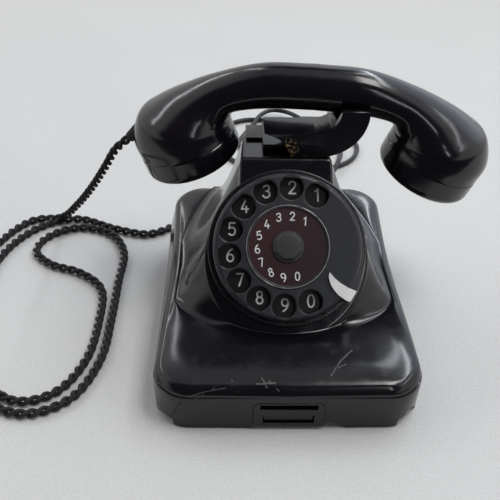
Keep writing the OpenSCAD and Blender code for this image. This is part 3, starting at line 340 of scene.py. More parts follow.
class Wire:
    """A value on its way through a finish; Python's operators on it add Math nodes."""

    def __init__(self, finish, socket):
        self.finish, self.socket = finish, socket

    def maths(self, operation, *values):
        """A Math node on these values."""
        return self.finish.node("ShaderNodeMath", {"operation": operation}, values)

    def __add__(self, other):
        return self.maths("ADD", self, other)

    def __sub__(self, other):
        return self.maths("SUBTRACT", self, other)

    def __rsub__(self, other):
        return self.maths("SUBTRACT", other, self)

    def __mul__(self, other):
        return self.maths("MULTIPLY", self, other)

    __radd__, __rmul__ = __add__, __mul__

    def most(self, other):
        """The larger of two values."""
        return self.maths("MAXIMUM", self, other)

    def step(self, low, high, a=0.0, b=1.0):
        """A smooth step from a to b between low and high."""
        settings = {"interpolation_type": "SMOOTHSTEP"}
        return self.finish.node("ShaderNodeMapRange", settings, [self, low, high, a, b])


class Finish:
    """A material being made: one Principled surface and the nodes before it."""

    def __init__(self, name, **same):
        self.material = bpy.data.materials.new(name)
        self.material.use_nodes = True
        self.tree = self.material.node_tree
        self.surface = self.tree.nodes["Principled BSDF"]
        self.here = self.node("ShaderNodeTexCoord", {}, {}, "Object")
        self.set(**same)

    @classmethod
    def of_world(cls, world):
        """The same tools over a world's nodes, where the position is the direction looked in."""
        self = cls.__new__(cls)
        self.tree = world.node_tree
        self.here = self.node("ShaderNodeTexCoord", {}, {}, "Generated")
        return self

    def node(self, kind, settings=(), values=(), out=0):
        """Adds a node: its settings first, then the values or links of its sockets."""
        made = self.tree.nodes.new(kind)
        for key, value in dict(settings).items():
            setattr(made, key, value)
        for key, value in values.items() if isinstance(values, dict) else enumerate(values):
            self.join(value, made.inputs[key])
        return Wire(self, made.outputs[out])

    def join(self, value, socket):
        """Links a wire to a socket, or sets the socket to a plain value."""
        if isinstance(value, Wire):
            self.tree.links.new(value.socket, socket)
        elif socket.type == "RGBA":
            socket.default_value = (*value, 1)
        else:
            socket.default_value = value

    def set(self, **sockets):
        """Sets the surface's sockets, with low lines in place of spaces in their names."""
        for name, value in sockets.items():
            self.join(value, self.surface.inputs[name.replace("_", " ")])
        return self

    def mix(self, factor, a, b):
        """A colour between a and b."""
        return self.node("ShaderNodeMix", {"data_type": "RGBA"}, {0: factor, 6: a, 7: b}, 2)

    def vector(self, operation, *values, out=0):
        """A sum, difference, distance or dot product; the last two are numbers, at output 1."""
        return self.node("ShaderNodeVectorMath", {"operation": operation}, values, out)

    def scaled(self, vector, share):
        """A vector times a number."""
        return self.node("ShaderNodeVectorMath", {"operation": "SCALE"}, {0: vector, 3: share})

    def placed(self, stretch=(1, 1, 1), spin=(0, 0, 0), at=(0, 0, 0)):
        """The position, moved, turned and stretched."""
        return self.node("ShaderNodeMapping", {}, {0: self.here, 1: at, 2: spin, 3: stretch})

    def noise(self, size, detail=3.0, rough=0.5, source=None, out=0):
        """Noise whose features are about the given size in millimetres."""
        values = {0: source or self.here, 2: 1000 / size, 3: detail, 4: rough}
        return self.node("ShaderNodeTexNoise", {}, values, out)

    def bands(self, direction, scale, distortion):
        """Waves of light and dark bands across a direction."""
        settings = {"bands_direction": direction}
        return self.node("ShaderNodeTexWave", settings, [self.here, scale, distortion])

    def shaken(self, size, reach):
        """The position, moved at random by up to a reach in metres."""
        push = self.vector("SUBTRACT", self.noise(size, 3, 0.6, out=1), (0.5, 0.5, 0.5))
        return self.vector("ADD", self.here, self.scaled(push, reach))

    def axis(self, name):
        """One coordinate of the position, in millimetres."""
        return self.node("ShaderNodeSeparateXYZ", {}, [self.here], name) * 1000.0

    def seen(self):
        """1 where the camera looks, and 0 for light and reflections."""
        return self.node("ShaderNodeLightPath", {}, {}, "Is Camera Ray")

    def near_line(self, a, b, width, source):
        """1 within half a width of the line from a to b, in millimetres, and 0 past a whole one:
        the distance is that of p - a from its own shadow on b - a, held between the ends."""
        a, b = np.asarray(a) * 0.001, np.asarray(b) * 0.001
        d = b - a
        pa = self.vector("SUBTRACT", source, tuple(a))
        share = [self.vector("DOT_PRODUCT", pa, tuple(d), out=1), float(1 / (d @ d))]
        held = self.node("ShaderNodeMath", {"operation": "MULTIPLY", "use_clamp": True}, share)
        away = self.vector("DISTANCE", pa, self.scaled(tuple(d), held), out=1)
        return away.step(width * 0.0005, width * 0.001, 1.0, 0.0)

    def near(self, point, inner, outer, source=None):
        """1 within an inner distance of a point and 0 past an outer one, in millimetres."""
        away = self.vector("DISTANCE", source or self.here, tuple(np.asarray(point) * 0.001), out=1)
        return away.step(inner * 0.001, outer * 0.001, 1.0, 0.0)

    def scratches(self, seed, size=9.0, fine=0.35, keep=0.72):
        """Sparse fine scratches: noise stretched to thin lines, turned two ways, and only its crests."""
        total = 0.0
        stretch = (1000 / size, 1000 / fine, 1000 / fine)
        for k, spin in enumerate(((0.3, 0.5, 0.9 + seed), (1.1, 0.2, 2.3 + seed))):
            lines = self.noise(1000, 1.0, 0.5, self.placed(stretch, spin, (seed, k, 0)))
            patch = self.noise(30, 1.0, 0.5, self.placed(at=(seed + k, 0.3, 0.1)))
            total = lines.step(keep, keep + 0.05) * patch.step(0.5, 0.6) + total
        return total

    def bump(self, height, depth, strength=1.0):
        """A surface direction from a height of 0 to 1 and its depth in millimetres."""
        values = {"Strength": strength, "Distance": depth * 0.001, "Height": height}
        return self.node("ShaderNodeBump", {}, values)


def tone(colour, share):
    """A colour with its three parts times one share, or each times its own."""
    return tuple(c * k for c, k in zip(colour, np.broadcast_to(share, 3)))


def finish_on(finish, *pieces):
    """Gives pieces or CAD nodes, by name, one finish."""
    for p in pieces:
        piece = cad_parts[p] if isinstance(p, str) else p
        if piece.material_slots:
            for held in piece.material_slots:
                held.material = finish.material
        else:
            piece.data.materials.append(finish.material)


# ------------------------------------------------------------------ finishes

# Broken places of the case's foot: middle, reach along the edge, height, in the case's own frame
CHIPS = [(-72, -86, 9, 5.5), (72.5, -87, 10, 6), (25, -95, 9, 1.6)]
# Fine lines in the case and in the left cap: two ends and a width, in the shared frame
CASE_CRACKS = [
    ((-74.5, -96.7, 25.4), (-76.8, -96.9, 20), 1.1), ((-76.8, -96.9, 20), (-79.3, -95.6, 13.1), 1.1),
    ((-79.3, -95.6, 13.1), (-81.9, -93.7, 6.2), 1.3)]
CASE_SCRATCHES = [
    ((-71.6, -97, 25.7), (-62, -96.1, 28.8), 0.5), ((-62, -96.1, 28.8), (-50.7, -94.8, 30.6), 0.45),
    ((-67.1, -97.6, 24.7), (-56.3, -94.8, 30.6), 0.4), ((24.2, -69.3, 36.5), (16.2, -78.4, 35.4), 0.45),
    ((16.2, -78.4, 35.4), (10.1, -88, 33.4), 0.4), ((19.6, -79.9, 35.1), (14.6, -82.7, 34.6), 0.45),
    ((-29.6, -89.3, 33.1), (-26.8, -94.9, 30.7), 0.6), ((-32.5, -93, 31.9), (-21.7, -92.5, 32.2), 0.5),
    ((-25.6, -91.2, 32.6), (-20, -96.1, 29.5), 0.5), ((-46.7, -90.6, 32.8), (-43.3, -96.2, 28.8), 0.35)]
CAP_SCRATCHES = [
    ((-82.9, 17.4, 106.3), (-88.3, 21.2, 98.1), 0.4), ((-78.5, 16.2, 109.2), (-83.8, 18.7, 99), 0.35)]
# How much a mark shows, its colour and its depth
CRACK, SCRATCH = (1.0, (0.002, 0.002, 0.002), 2.0), (0.28, (0.2, 0.19, 0.18), 0.3)
DUST = (0.19, 0.185, 0.175)


def bakelite(name, colour, seed, cracks=(), scratches=()):
    """Dark moulded resin: faintly mottled, polished, with smudges, dust and fine scratches, and
    with single cracks and pale scratches where they are given."""
    f = Finish(name, Specular_IOR_Level=0.55)
    cloud = f.noise(34, 4, 0.6, f.placed(at=(seed, 0, 0)))
    mottle = f.noise(2.2, 3, 0.7, f.placed(at=(0, seed, 0)))
    smudge = f.noise(11, 5, 0.65, f.placed(at=(0, 0, seed))).step(0.5, 0.68)
    dust = f.noise(0.9, 2, 0.6).step(0.73, 0.8) * f.noise(15, 2).step(0.42, 0.62)
    lines = f.scratches(seed)
    shade = f.mix(cloud.step(0.35, 0.7), colour, tone(colour, (1.55, 1.25, 1.2)))
    shade = f.mix(mottle.step(0.55, 0.8) * 0.5, shade, tone(colour, 1.7))
    shade = f.mix(dust * 0.55, shade, DUST)
    rough = cloud * 0.1 + smudge * 0.07 + dust * 0.3 + lines * 0.15 + 0.1
    height = f.noise(0.6, 2, 0.5) * 0.06 + f.noise(7, 2, 0.5) * 0.5 + lines * -0.12
    marks = [(line, CRACK) for line in cracks] + [(line, SCRATCH) for line in scratches]
    wander = f.shaken(3, 0.0012) if marks else None
    for line, (share, pale, depth) in marks:
        mark = f.near_line(*line, wander)
        shade = f.mix(mark * share, shade, pale)
        rough = mark * 0.3 + rough
        height = height - mark * depth
    return f, shade, rough, height


def handset_resin(name, colour, seed, scratches=()):
    """The handset's resin, polished by hands."""
    f, shade, rough, height = bakelite(name, colour, seed, scratches=scratches)
    return f.set(Base_Color=shade, Roughness=rough, Normal=f.bump(height, 0.1, 0.4))


def resin_trim(name, colour, rough, seed):
    """Moulded resin of the small parts: duller than the case, with grain, dust and rubbed places."""
    f, shade, base, height = bakelite(name, colour, seed)
    return f.set(Base_Color=shade, Roughness=base + (rough - 0.15), Normal=f.bump(height, 0.1, 0.45))


def case_resin(colour):
    """The case's resin, cracked and scratched, with the raw filler bare where the foot is broken."""
    f, shade, rough, height = bakelite("case resin", colour, 0.3, CASE_CRACKS, CASE_SCRATCHES)
    ragged = f.shaken(4, 0.004)
    chip = 0.0
    for x, y, reach, high in CHIPS:
        inner, outer = reach * 0.5 + high * 0.25, reach * 0.62 + high * 0.3
        chip = f.near(put(CASE, [x, y, -1.0]), inner, outer, ragged) + chip
    grit = f.noise(0.8, 4, 0.7)
    shade = f.mix(chip, shade, f.mix(grit, (0.03, 0.024, 0.02), (0.16, 0.135, 0.11)))
    return f.set(Base_Color=shade, Roughness=rough + chip * 0.6,
                 Normal=f.bump(height + chip * grit * 6, 0.1, 0.5))


def cradle_resin(colour):
    """The cradle's resin, with crumbs of filler on its broken side."""
    f, shade, rough, height = bakelite("cradle resin", colour, 5.2)
    grit = f.noise(1.1, 4, 0.7)
    break_place = put(CASE, [1, CRADLE_FRONT, 124])
    crumbs = f.near(break_place, 2.5, 8) * f.noise(1.5, 3, 0.7).step(0.53, 0.59)
    return f.set(Base_Color=f.mix(crumbs, shade, (0.42, 0.29, 0.12)), Roughness=rough + crumbs * 0.5,
                 Normal=f.bump(height + crumbs * grit * 3, 0.1, 0.5))


def metal(name, colour, rough, size, rust=0.0):
    """Worked metal: clouded tarnish, fine grain and scratches, with brown specks where it rusts."""
    f = Finish(name, Metallic=1.0)
    cloud, grain = f.noise(size * 3, 4, 0.6), f.noise(size * 0.2, 2, 0.6)
    lines = f.scratches(0.7, 6.0, 0.2, 0.66)
    shade = f.mix(cloud.step(0.3, 0.75), colour, tone(colour, 0.62))
    shade = f.mix(lines * 0.6, shade, tuple(min(1, c) for c in tone(colour, 1.35)))
    if rust:
        spot = f.noise(1.6, 3, 0.7).step(0.6, 0.7) * f.noise(14, 2).step(0.45, 0.65) * rust
        shade = f.mix(spot, shade, (0.11, 0.045, 0.02))
        f.set(Metallic=1.0 - spot)
    return f.set(Base_Color=shade, Roughness=cloud * 0.2 + grain * 0.1 + lines * 0.1 + (rough - 0.15),
                 Normal=f.bump(grain + lines * -0.6, 0.04, 0.5))


def nickel_painted_white():
    """The finger stop's nickel, whose bright reflection is painted in as a near-white colour on a mostly
    unmetallic surface, clouded and finely scratched.
    """
    f = Finish("nickel with painted reflection", Metallic=0.35, Specular_IOR_Level=0.7)
    cloud, lines = f.noise(7, 3, 0.6), f.scratches(0.4, 7.0, 0.25, 0.7)
    # Painted reflection: a near-white base colour at low Metallic stands in for the nickel's bright
    # reflections
    return f.set(Base_Color=f.mix(cloud.step(0.35, 0.7), (0.93, 0.93, 0.92), (0.84, 0.84, 0.82)),
                 Roughness=cloud * 0.12 + lines * 0.15 + 0.18,
                 Normal=f.bump(cloud + lines * -0.4, 0.03, 0.5))


def rubber(colour):
    """Aged black rubber: fine grain and grey bloom."""
    f = Finish("black rubber", Specular_IOR_Level=0.3)
    bloom, grain = f.noise(6, 4, 0.6), f.noise(0.35, 2, 0.6)
    return f.set(Base_Color=f.mix(bloom.step(0.45, 0.75) * 0.6, colour, (0.07, 0.068, 0.065)),
                 Roughness=0.55 + bloom * 0.25, Normal=f.bump(grain, 0.05, 0.7))


def wheel_enamel(colour):
    """Satin enamel of the finger wheel: cloudy, rubbed smoother in places, with fine scratches."""
    f = Finish("satin dial enamel", Specular_IOR_Level=0.5)
    cloud, grain = f.noise(20, 4, 0.6), f.noise(0.5, 2, 0.6)
    rub = f.noise(5, 4, 0.65).step(0.52, 0.72)
    lines = f.scratches(1.9, 7.0, 0.25, 0.68)
    shade = f.mix(lines * 0.5, f.mix(cloud, colour, tone(colour, 1.5)), (0.1, 0.1, 0.105))
    rough = cloud * 0.12 + grain * 0.05 + rub * -0.06 + lines * 0.1 + 0.3
    return f.set(Base_Color=shade, Roughness=rough, Metallic=0.15,
                 Normal=f.bump(grain + lines * -0.8, 0.03, 0.6))


def plate_enamel():
    """Black enamel of the number plate under a thin haze."""
    f = Finish("black plate enamel", Specular_IOR_Level=0.4)
    haze, grain = f.noise(9, 4, 0.6), f.noise(0.5, 2, 0.6)
    return f.set(Base_Color=f.mix(haze.step(0.5, 0.8), (0.004, 0.004, 0.0045), (0.012, 0.012, 0.013)),
                 Roughness=0.25 + haze * 0.15, Normal=f.bump(grain, 0.02, 0.4))


def number_paint(name, colour, size, worn, share, rough, **same):
    """White paint of the numbers, greyer in worn places."""
    f = Finish(name, **same)
    wear = f.noise(size, 3, 0.7)
    return f.set(Base_Color=f.mix(wear.step(worn, 0.8), colour, tone(colour, share)),
                 Roughness=rough + wear * 0.2)


def printed_card(colour):
    """The card in the wheel: a painted sheen makes it lighter and redder toward -X and +Y; it is also
    blotched, and fibrous.
    """
    f = Finish("printed card", Specular_IOR_Level=0.35)
    # Painted sheen: the card is lighter and redder toward -X and +Y, as if lit from that side
    fade = (f.axis("X") * -0.5 + f.axis("Y") * 0.4).step(-24, 24)
    fibre = f.noise(0.6, 3, 0.7)
    shade = f.mix(fade, colour, tone(colour, (2.4, 1.6, 1.5)))
    shade = f.mix(f.noise(6, 4, 0.6).step(0.55, 0.8) * 0.35, shade, (0.03, 0.02, 0.02))
    return f.set(Base_Color=shade, Roughness=0.36 + fibre * 0.2, Normal=f.bump(fibre, 0.03, 0.5))


def crest_highlight_ring(colour):
    """A painted highlight: a lighter, metallic line along the ring's crest, broken by noise. The distance
    from the dial's axis is that of p from its own shadow on the axis."""
    f = Finish("ring with painted crest highlight", Specular_IOR_Level=0.5, Roughness=0.3)
    place = f.vector("SUBTRACT", f.here, tuple(DIAL[:3, 3] * 0.001))
    axis = tuple(DIAL[:3, 2])
    shadow = f.scaled(axis, f.vector("DOT_PRODUCT", place, axis, out=1))
    radius = f.vector("DISTANCE", place, shadow, out=1) * 1000
    crest = (radius.step(CARD_R + 1.0, CARD_R + 1.25)
             * radius.step(CARD_R + 1.5, CARD_R + 1.75, 1.0, 0.0))
    # Painted highlight: a thin, lighter, metallic band on the crest, broken by noise
    worn = crest * f.noise(8, 3, 0.6).step(0.3, 0.55)
    return f.set(Base_Color=f.mix(worn, colour, (0.42, 0.42, 0.41)), Metallic=worn * 0.8)


def cord_cloth(name, colour, strand):
    """Braided cotton: slanted crossing ribs that follow the cord's length and its way round."""
    f = Finish(name, Specular_IOR_Level=0.3)
    uv = f.node("ShaderNodeUVMap", {"uv_map": "UVMap"})
    along, way_round = (f.node("ShaderNodeSeparateXYZ", {}, [uv], k) for k in (0, 1))
    turns, ribs = along * (2 * math.pi * 1000 / strand), way_round * (2 * math.pi * 4)
    left, right = (f.node("ShaderNodeMath", {"operation": "SINE"}, [x]) for x in (turns + ribs, turns - ribs))
    weave = left.most(right) * 0.5 + 0.5
    fuzz, worn = f.noise(0.5, 2, 0.7), f.noise(16, 2, 0.5).step(0.45, 0.7)
    shade = f.mix(weave * 0.6 + fuzz * 0.4, tone(colour, 0.35), tone(colour, 2.0))
    shade = f.mix(worn * 0.4, shade, tone(colour, 2.4))
    return f.set(Base_Color=shade, Roughness=0.55 + fuzz * 0.25,
                 Normal=f.bump(weave + fuzz * 0.5, 0.16, 0.9))


def cord_cover(colour):
    """The line cord's smooth cover, greyed where it is handled."""
    f = Finish("smooth cord cover", Specular_IOR_Level=0.4)
    wear = f.noise(9, 3, 0.6)
    return f.set(Base_Color=f.mix(wear.step(0.4, 0.75), colour, tone(colour, 2)),
                 Roughness=0.3 + wear * 0.2, Normal=f.bump(f.noise(0.7, 2), 0.05, 0.6))


def cotton_tape():
    """Ribbed black tape."""
    f = Finish("cotton tape", Roughness=0.8)
    rib = f.bands("DIAGONAL", 900.0, 0.4)
    return f.set(Base_Color=f.mix(rib, (0.02, 0.02, 0.021), (0.06, 0.06, 0.062)), Normal=f.bump(rib, 0.1))


def winding():
    """Lacquered copper wire, turn beside turn."""
    f = Finish("lacquered winding", Specular_IOR_Level=0.5, Roughness=0.35)
    turns = f.bands("Y", 500.0, 0.3)
    return f.set(Base_Color=f.mix(turns, (0.16, 0.05, 0.02), (0.42, 0.16, 0.07)), Normal=f.bump(turns, 0.15))


def waxed_paper():
    """Brown wrapped paper, fibrous, with the edges of its layers."""
    f = Finish("waxed paper")
    wrap, fibre = f.bands("X", 160.0, 1.0), f.noise(0.8, 3, 0.7)
    return f.set(Base_Color=f.mix(wrap * 0.5 + fibre * 0.5, (0.12, 0.07, 0.035), (0.22, 0.14, 0.07)),
                 Roughness=0.55 + fibre * 0.2, Normal=f.bump(wrap + fibre, 0.08, 0.6))


# ------------------------------------------------------------------ cords

HANDSET_ROUTE = [
    (-99.2, 54, 110.9), (-103, 54.5, 107), (-109.5, 59, 98.5), (-118, 69, 80), (-131, 86, 53),
    (-146, 105, 26), (-161, 119, 6), (-184, 118, 3), (-203, 89, 3), (-212, 50, 3), (-212, 8, 3),
    (-204, -36, 3), (-185, -70, 3), (-156, -85, 3), (-129, -72, 3), (-115, -38, 3), (-112, 2, 3),
    (-111, 42, 3), (-110, 76, 3), (-122, 101, 3), (-147, 109, 3), (-168, 97, 3), (-174, 78, 3),
    (-161, 62, 3), (-139, 52, 3), (-122, 33, 3), (-120, 0, 3), (-124, -38, 3), (-139, -67, 3),
    (-164, -74, 3), (-189, -50, 3), (-202, -14, 3), (-204, 30, 3), (-197, 76, 3), (-178, 108, 3),
    (-150, 121, 3), (-120, 108, 3), (-97, 101, 3), (-83, 106, 3), (-73, 114, 3), (-62, 119, 4.5),
    (-53.5, 115.5, 7.5), (-50, 107, 9.6), (-50, 101.2, 10)]
LINE_ROUTE = [
    (-30, 101, 10), (-30, 112, 8), (-30, 127, 3), (-26, 148, 2), (-17, 172, 2), (-15, 196, 2),
    (-27, 213, 2), (-40, 230, 2), (-43, 255, 2), (-32, 279, 2), (-15, 290, 2), (8, 289, 2),
    (34, 288, 2), (60, 278, 2), (77, 260, 2), (82, 238, 2), (73, 216, 2), (52, 202, 2), (26, 198, 2),
    (3, 207, 2), (-13, 223, 2), (-23, 243, 2), (-17, 262, 2.4), (-9, 276, 5), (-2, 291, 6.6),
    (9, 302, 6.2), (22, 299, 6.2), (33, 287, 6.8), (44, 274, 4.4), (58, 262, 2), (66, 246, 2),
    (66, 228, 3), (62, 208, 6.6), (54, 191, 4), (43, 183, 2.4), (32, 179, 2.4), (27, 171, 2.4),
    (32.5, 163.8, 2.76), (40, 163, 2.8)]
TAIL_ROUTE = [(14.85, 139, 7.4), (14.6, 143, 7.4), (12, 149.5, 7.4), (7, 157, 7.6), (-1, 162, 7.8),
              (-9, 158, 8), (-12, 149, 8)]
COIL_X, COIL_Y, COIL_OUT, COIL_PITCH, COIL_TURNS, COIL_LOW, COIL_STEPS = 44, 135, 28.0, 4.6, 3, 2.8, 48
# A strand's radius as a share of the twisted cord's thickness
STRAND = 0.235


def lying(route, diameter, steps=8):
    """A route smoothed, and held above the table by half its diameter."""
    line = smooth_line(route, steps)
    line[:, 2] = np.maximum(line[:, 2], diameter / 2 + 0.1)
    return line


def coil_line():
    """Round n turns clockwise: the radius falls by a pitch each turn, rises over half a turn onto
    the layer above, and grows again to the outside."""
    n = np.arange(0, (2 * COIL_TURNS + 0.75) * COIL_STEPS + 1) / COIL_STEPS
    middle = COIL_TURNS + 0.5
    back = np.where(n <= middle + 0.5, middle - 2 * (n - middle), 2 * COIL_TURNS + 0.5 - n)
    r, a = COIL_OUT - COIL_PITCH * np.where(n <= middle, n, back), np.pi / 2 - 2 * np.pi * n
    z = COIL_LOW + COIL_PITCH * np.clip(2 * (n - COIL_TURNS), 0, 1)
    return np.c_[COIL_X + r * np.cos(a), COIL_Y + r * np.sin(a), z]


def twisted_cord(path, t, d, twist):
    """Two strands round a path: point + off (cos w side + sin w up), w one turn for each twist."""
    s, v = crosswise(path)
    strand = d * STRAND
    off = d / 2 - strand
    skin = Skin()
    for phase in (0, np.pi):
        w = (2 * np.pi * t / twist + phase)[:, None]
        swell = 1 + 0.02 * np.sin(t * 0.9 + phase)
        line = path + off * (np.cos(w) * s + np.sin(w) * v)
        skin.grid(carried(line, strand * swell, 10), round_v=True, along=np.r_[0, t, t[-1]] * 0.001)
    return skin.make("handset_cord_twisted", 80)


def cord_sleeve(d):
    """The sleeve where the line cord leaves the case: wide at the wall, drawn in toward its end,
    with low ribs."""
    path, along = evenly(lying(LINE_ROUTE, d)[:14], 0.5)
    share = along / along[-1]
    ribs = 0.18 * np.clip(np.sin(along * 2.2), 0, 1) * (share > 0.15)
    radii = (d / 2 + 0.25 + 1.9 * (1 - share) ** 1.3 + ribs) * np.clip((1.001 - share) * 40, 0.5, 1)
    return Skin().grid(carried(path, radii, 28), round_v=True).make("line_cord_sleeve", 50)


def cord_tie(d):
    """A flat loop of tape round the coil's turns: a rounded oblong inside another."""
    gap, tape, width = 0.3, 0.5, 2
    half = COIL_PITCH * COIL_TURNS / 2 + d / 2 + gap
    top = COIL_LOW + COIL_PITCH + d / 2 + gap
    loops = []
    for out, y in ((0, -width), (tape, -width), (tape, width), (0, width)):
        grow = 0.05 + out
        a, b, low = half + grow, top + grow, 0.7 - grow
        ring = rounded([(-a, low), (a, low), (a, b), (-a, b)], 2.2 + grow, 6)
        loops.append(np.c_[ring[:, 0], np.full(len(ring), y), ring[:, 1]])
    middle = COIL_OUT - COIL_PITCH * COIL_TURNS / 2
    place = CASE @ shift(COIL_X, COIL_Y, 0) @ turn("Z", 150) @ shift(middle, 0, 0)
    return Skin(place).grid(np.array(loops), True, True).make("line_tie_tape", 40)


class TELEPHONE_OT_cords(Operator):
    """Twists the two strands of the handset's cord, and lays the line cord with its coil, tie and plug"""

    bl_idname = "telephone.cords"
    bl_label = "Cords"

    def execute(self, context):
        sizes, colours = context.scene.telephone_sizes, context.scene.telephone_colours
        d = sizes.handset_cord * 1000
        path, t = evenly(lying(HANDSET_ROUTE, d), 1.0)
        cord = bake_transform(twisted_cord(path, t, d, sizes.cord_twist * 1000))
        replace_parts(cord, "handset_cord")
        place = put(CASE, path) * 0.001
        place[::3].tolist() + [place[-1].tolist()]
        finish_on(cord_cloth("black braided cotton", colours.cord, 1.1), cord)

        d = sizes.line_cord * 1000
        route = np.vstack([lying(LINE_ROUTE, d)[:-1], coil_line(), smooth_line(TAIL_ROUTE, 8)[1:]])
        path, t = evenly(route, 1.6)
        skin = Skin().grid(carried(path, d / 2, 14), round_v=True, along=np.r_[0, t, t[-1]] * 0.001)
        line = dressed(skin.make("line_cord_laid", 80), "telephone", "line_cord_cover",
                       "line_cord", "line_coil", "line_tail")
        sleeve = dressed(cord_sleeve(d), "telephone", "rubber")
        plug = eased(copied("line_plug", "line_plug_moulded"), 1.6, 4, 40)
        dressed(plug, "telephone", "trim_bakelite")
        tie = dressed(cord_tie(d), "telephone", "tie", "line_tie")
        place = put(CASE, path) * 0.001
        place[::2].tolist() + [place[-1].tolist()]
        finish_on(resin_trim("plug resin", colours.resin, 0.3, 5.5), plug)
        finish_on(cord_cover(colours.cord), line)
        finish_on(cotton_tape(), tie)
        return {"FINISHED"}


# ------------------------------------------------------------------ case

CASE_W, CASE_D, CORNER, TAPER, WALL, FOOT_IN, FOOT_Z = 160.0, 190.0, 22.0, 5.0, 3.0, 2.6, 0.8
FRONT_H, BACK_H, RIM_R, LEAN, WALL_Z, KNEE = 33.0, 56.5, 7.0, 0.26, 26.0, 9.0
NECK_Z, NECK_W, NECK_BACK, NECK_TAPER, NECK_FOLD, EDGE_R = 117.0, 58.0, 58.0, 0.07, 1.5, 2.0
RING_R, RING_H, FLARE, FLARE_FRONT, HUB_Y, BLEND = 47.8, 5.0, 40.0, 4.5, 5.0, 6.0
DRUM_R, CAN_R = RING_R + 2.2, RING_R - 10.8
CROWN, CROWN_W = 1.3, 17.0
SCREW_INSET, SCREW_HOLE, POST_Z, POST_LOW_R, POST_R, POST_BORE = 16.0, 1.7, 4.1, 4.6, 5.0, 14.0
KEY_X, KEY_Z, KEY_W, KEY_H, KEY_CORNER, SEAT_GAP = -0.2, 2.6, 41.0, 18.4, 4.0, 0.3
ROD_X, ROD_Y, ROD_HOLE = (-2, 15), 37.5, 4.6
GLAND_HOLES, GLAND_Z = ((-50, 5.1), (-30, 4.1)), 10.0
BITE_H, BITE_DEPTH = 3.2, 1.7


def blend_max(a, b, width):
    """The larger of a and b, rounded where they are within a width of each other."""
    h = np.clip(0.5 + 0.5 * (a - b) / width, 0, 1)
    return b * (1 - h) + a * h + width * h * (1 - h)


def foot_outline(t, corner=24, side=64):
    """An oblong inset by t, with quarter circles at its corners, drawn in evenly toward the back."""
    hw, hd, r = CASE_W / 2 - t, CASE_D / 2 - t, CORNER - t
    middles = [(hw - r, hd - r), (r - hw, hd - r), (r - hw, r - hd), (hw - r, r - hd)]
    arcs = [arc(*m, r, quarter(corner + 1) + q * np.pi / 2) for q, m in enumerate(middles)]
    k = (np.arange(1, side) / side)[:, None]
    rows = []
    for q in range(4):
        end, start = arcs[q][-1], arcs[(q + 1) % 4][0]
        rows += [arcs[q], end + (start - end) * k]
    p = np.vstack(rows)
    p[:, 0] *= 1 - TAPER * np.clip((p[:, 1] + CASE_D / 2) / CASE_D, 0, 1) * 2 / CASE_W
    return p


def broken(b):
    """Height of the broken places at a point of the foot: each falls off with distance, unevenly."""
    high = np.zeros(len(b))
    x, y = b.T
    for at_x, at_y, reach, h in CHIPS:
        away = np.hypot(x - at_x, y - at_y) / reach
        ragged = 0.12 * np.sin(x * 2.9 + y * 1.7) + 0.08 * np.sin(x * 6.1 - y * 5.3)
        high = np.maximum(high, h * np.clip(1.4 * (1 - away + ragged * (away < 1)), 0, 1))
    return high


def slope_z(y, t):
    """Height of the sloping top, t inside it: from the front's height evenly to the back's."""
    return FRONT_H - t + (BACK_H - FRONT_H) * (y + CASE_D / 2) / CASE_D


def neck_top_z(y, t):
    """Height of the upper part, t inside it: the dial's plane or the neck's top, whichever is lower."""
    tilt = math.radians(DIAL_TILT)
    face = DIAL_Z - (RING_H + t) / math.sin(tilt) + (y - DIAL_Y) / math.tan(tilt)
    return -blend_max(-face, -(NECK_Z - t), NECK_FOLD)


def neck_reach(ux, uy, t):
    """How far the upper part reaches in a direction: the drum is an ellipse hit by it, the neck a
    squared-off oval, and the result their blended maximum."""
    a, o = DRUM_R - t, HUB_Y - DIAL_Y
    e = a * math.sin(math.radians(DIAL_TILT))
    qa, qb, qc = (ux / a) ** 2 + (uy / e) ** 2, o * uy / e ** 2, (o / e) ** 2 - 1
    hit = qb ** 2 - qa * qc
    drum = np.where(hit > 0, (np.sqrt(np.maximum(hit, 0)) - qb) / qa, 0)
    side = (NECK_W / 2 - t) / np.maximum(abs(ux) + NECK_TAPER * np.maximum(uy, 0), 0.001)
    ends = np.where(uy > 0, NECK_BACK - t - HUB_Y, 1.0) / np.maximum(abs(uy), 0.001)
    return blend_max(drum, (side ** -10 + ends ** -10) ** -0.1, BLEND)


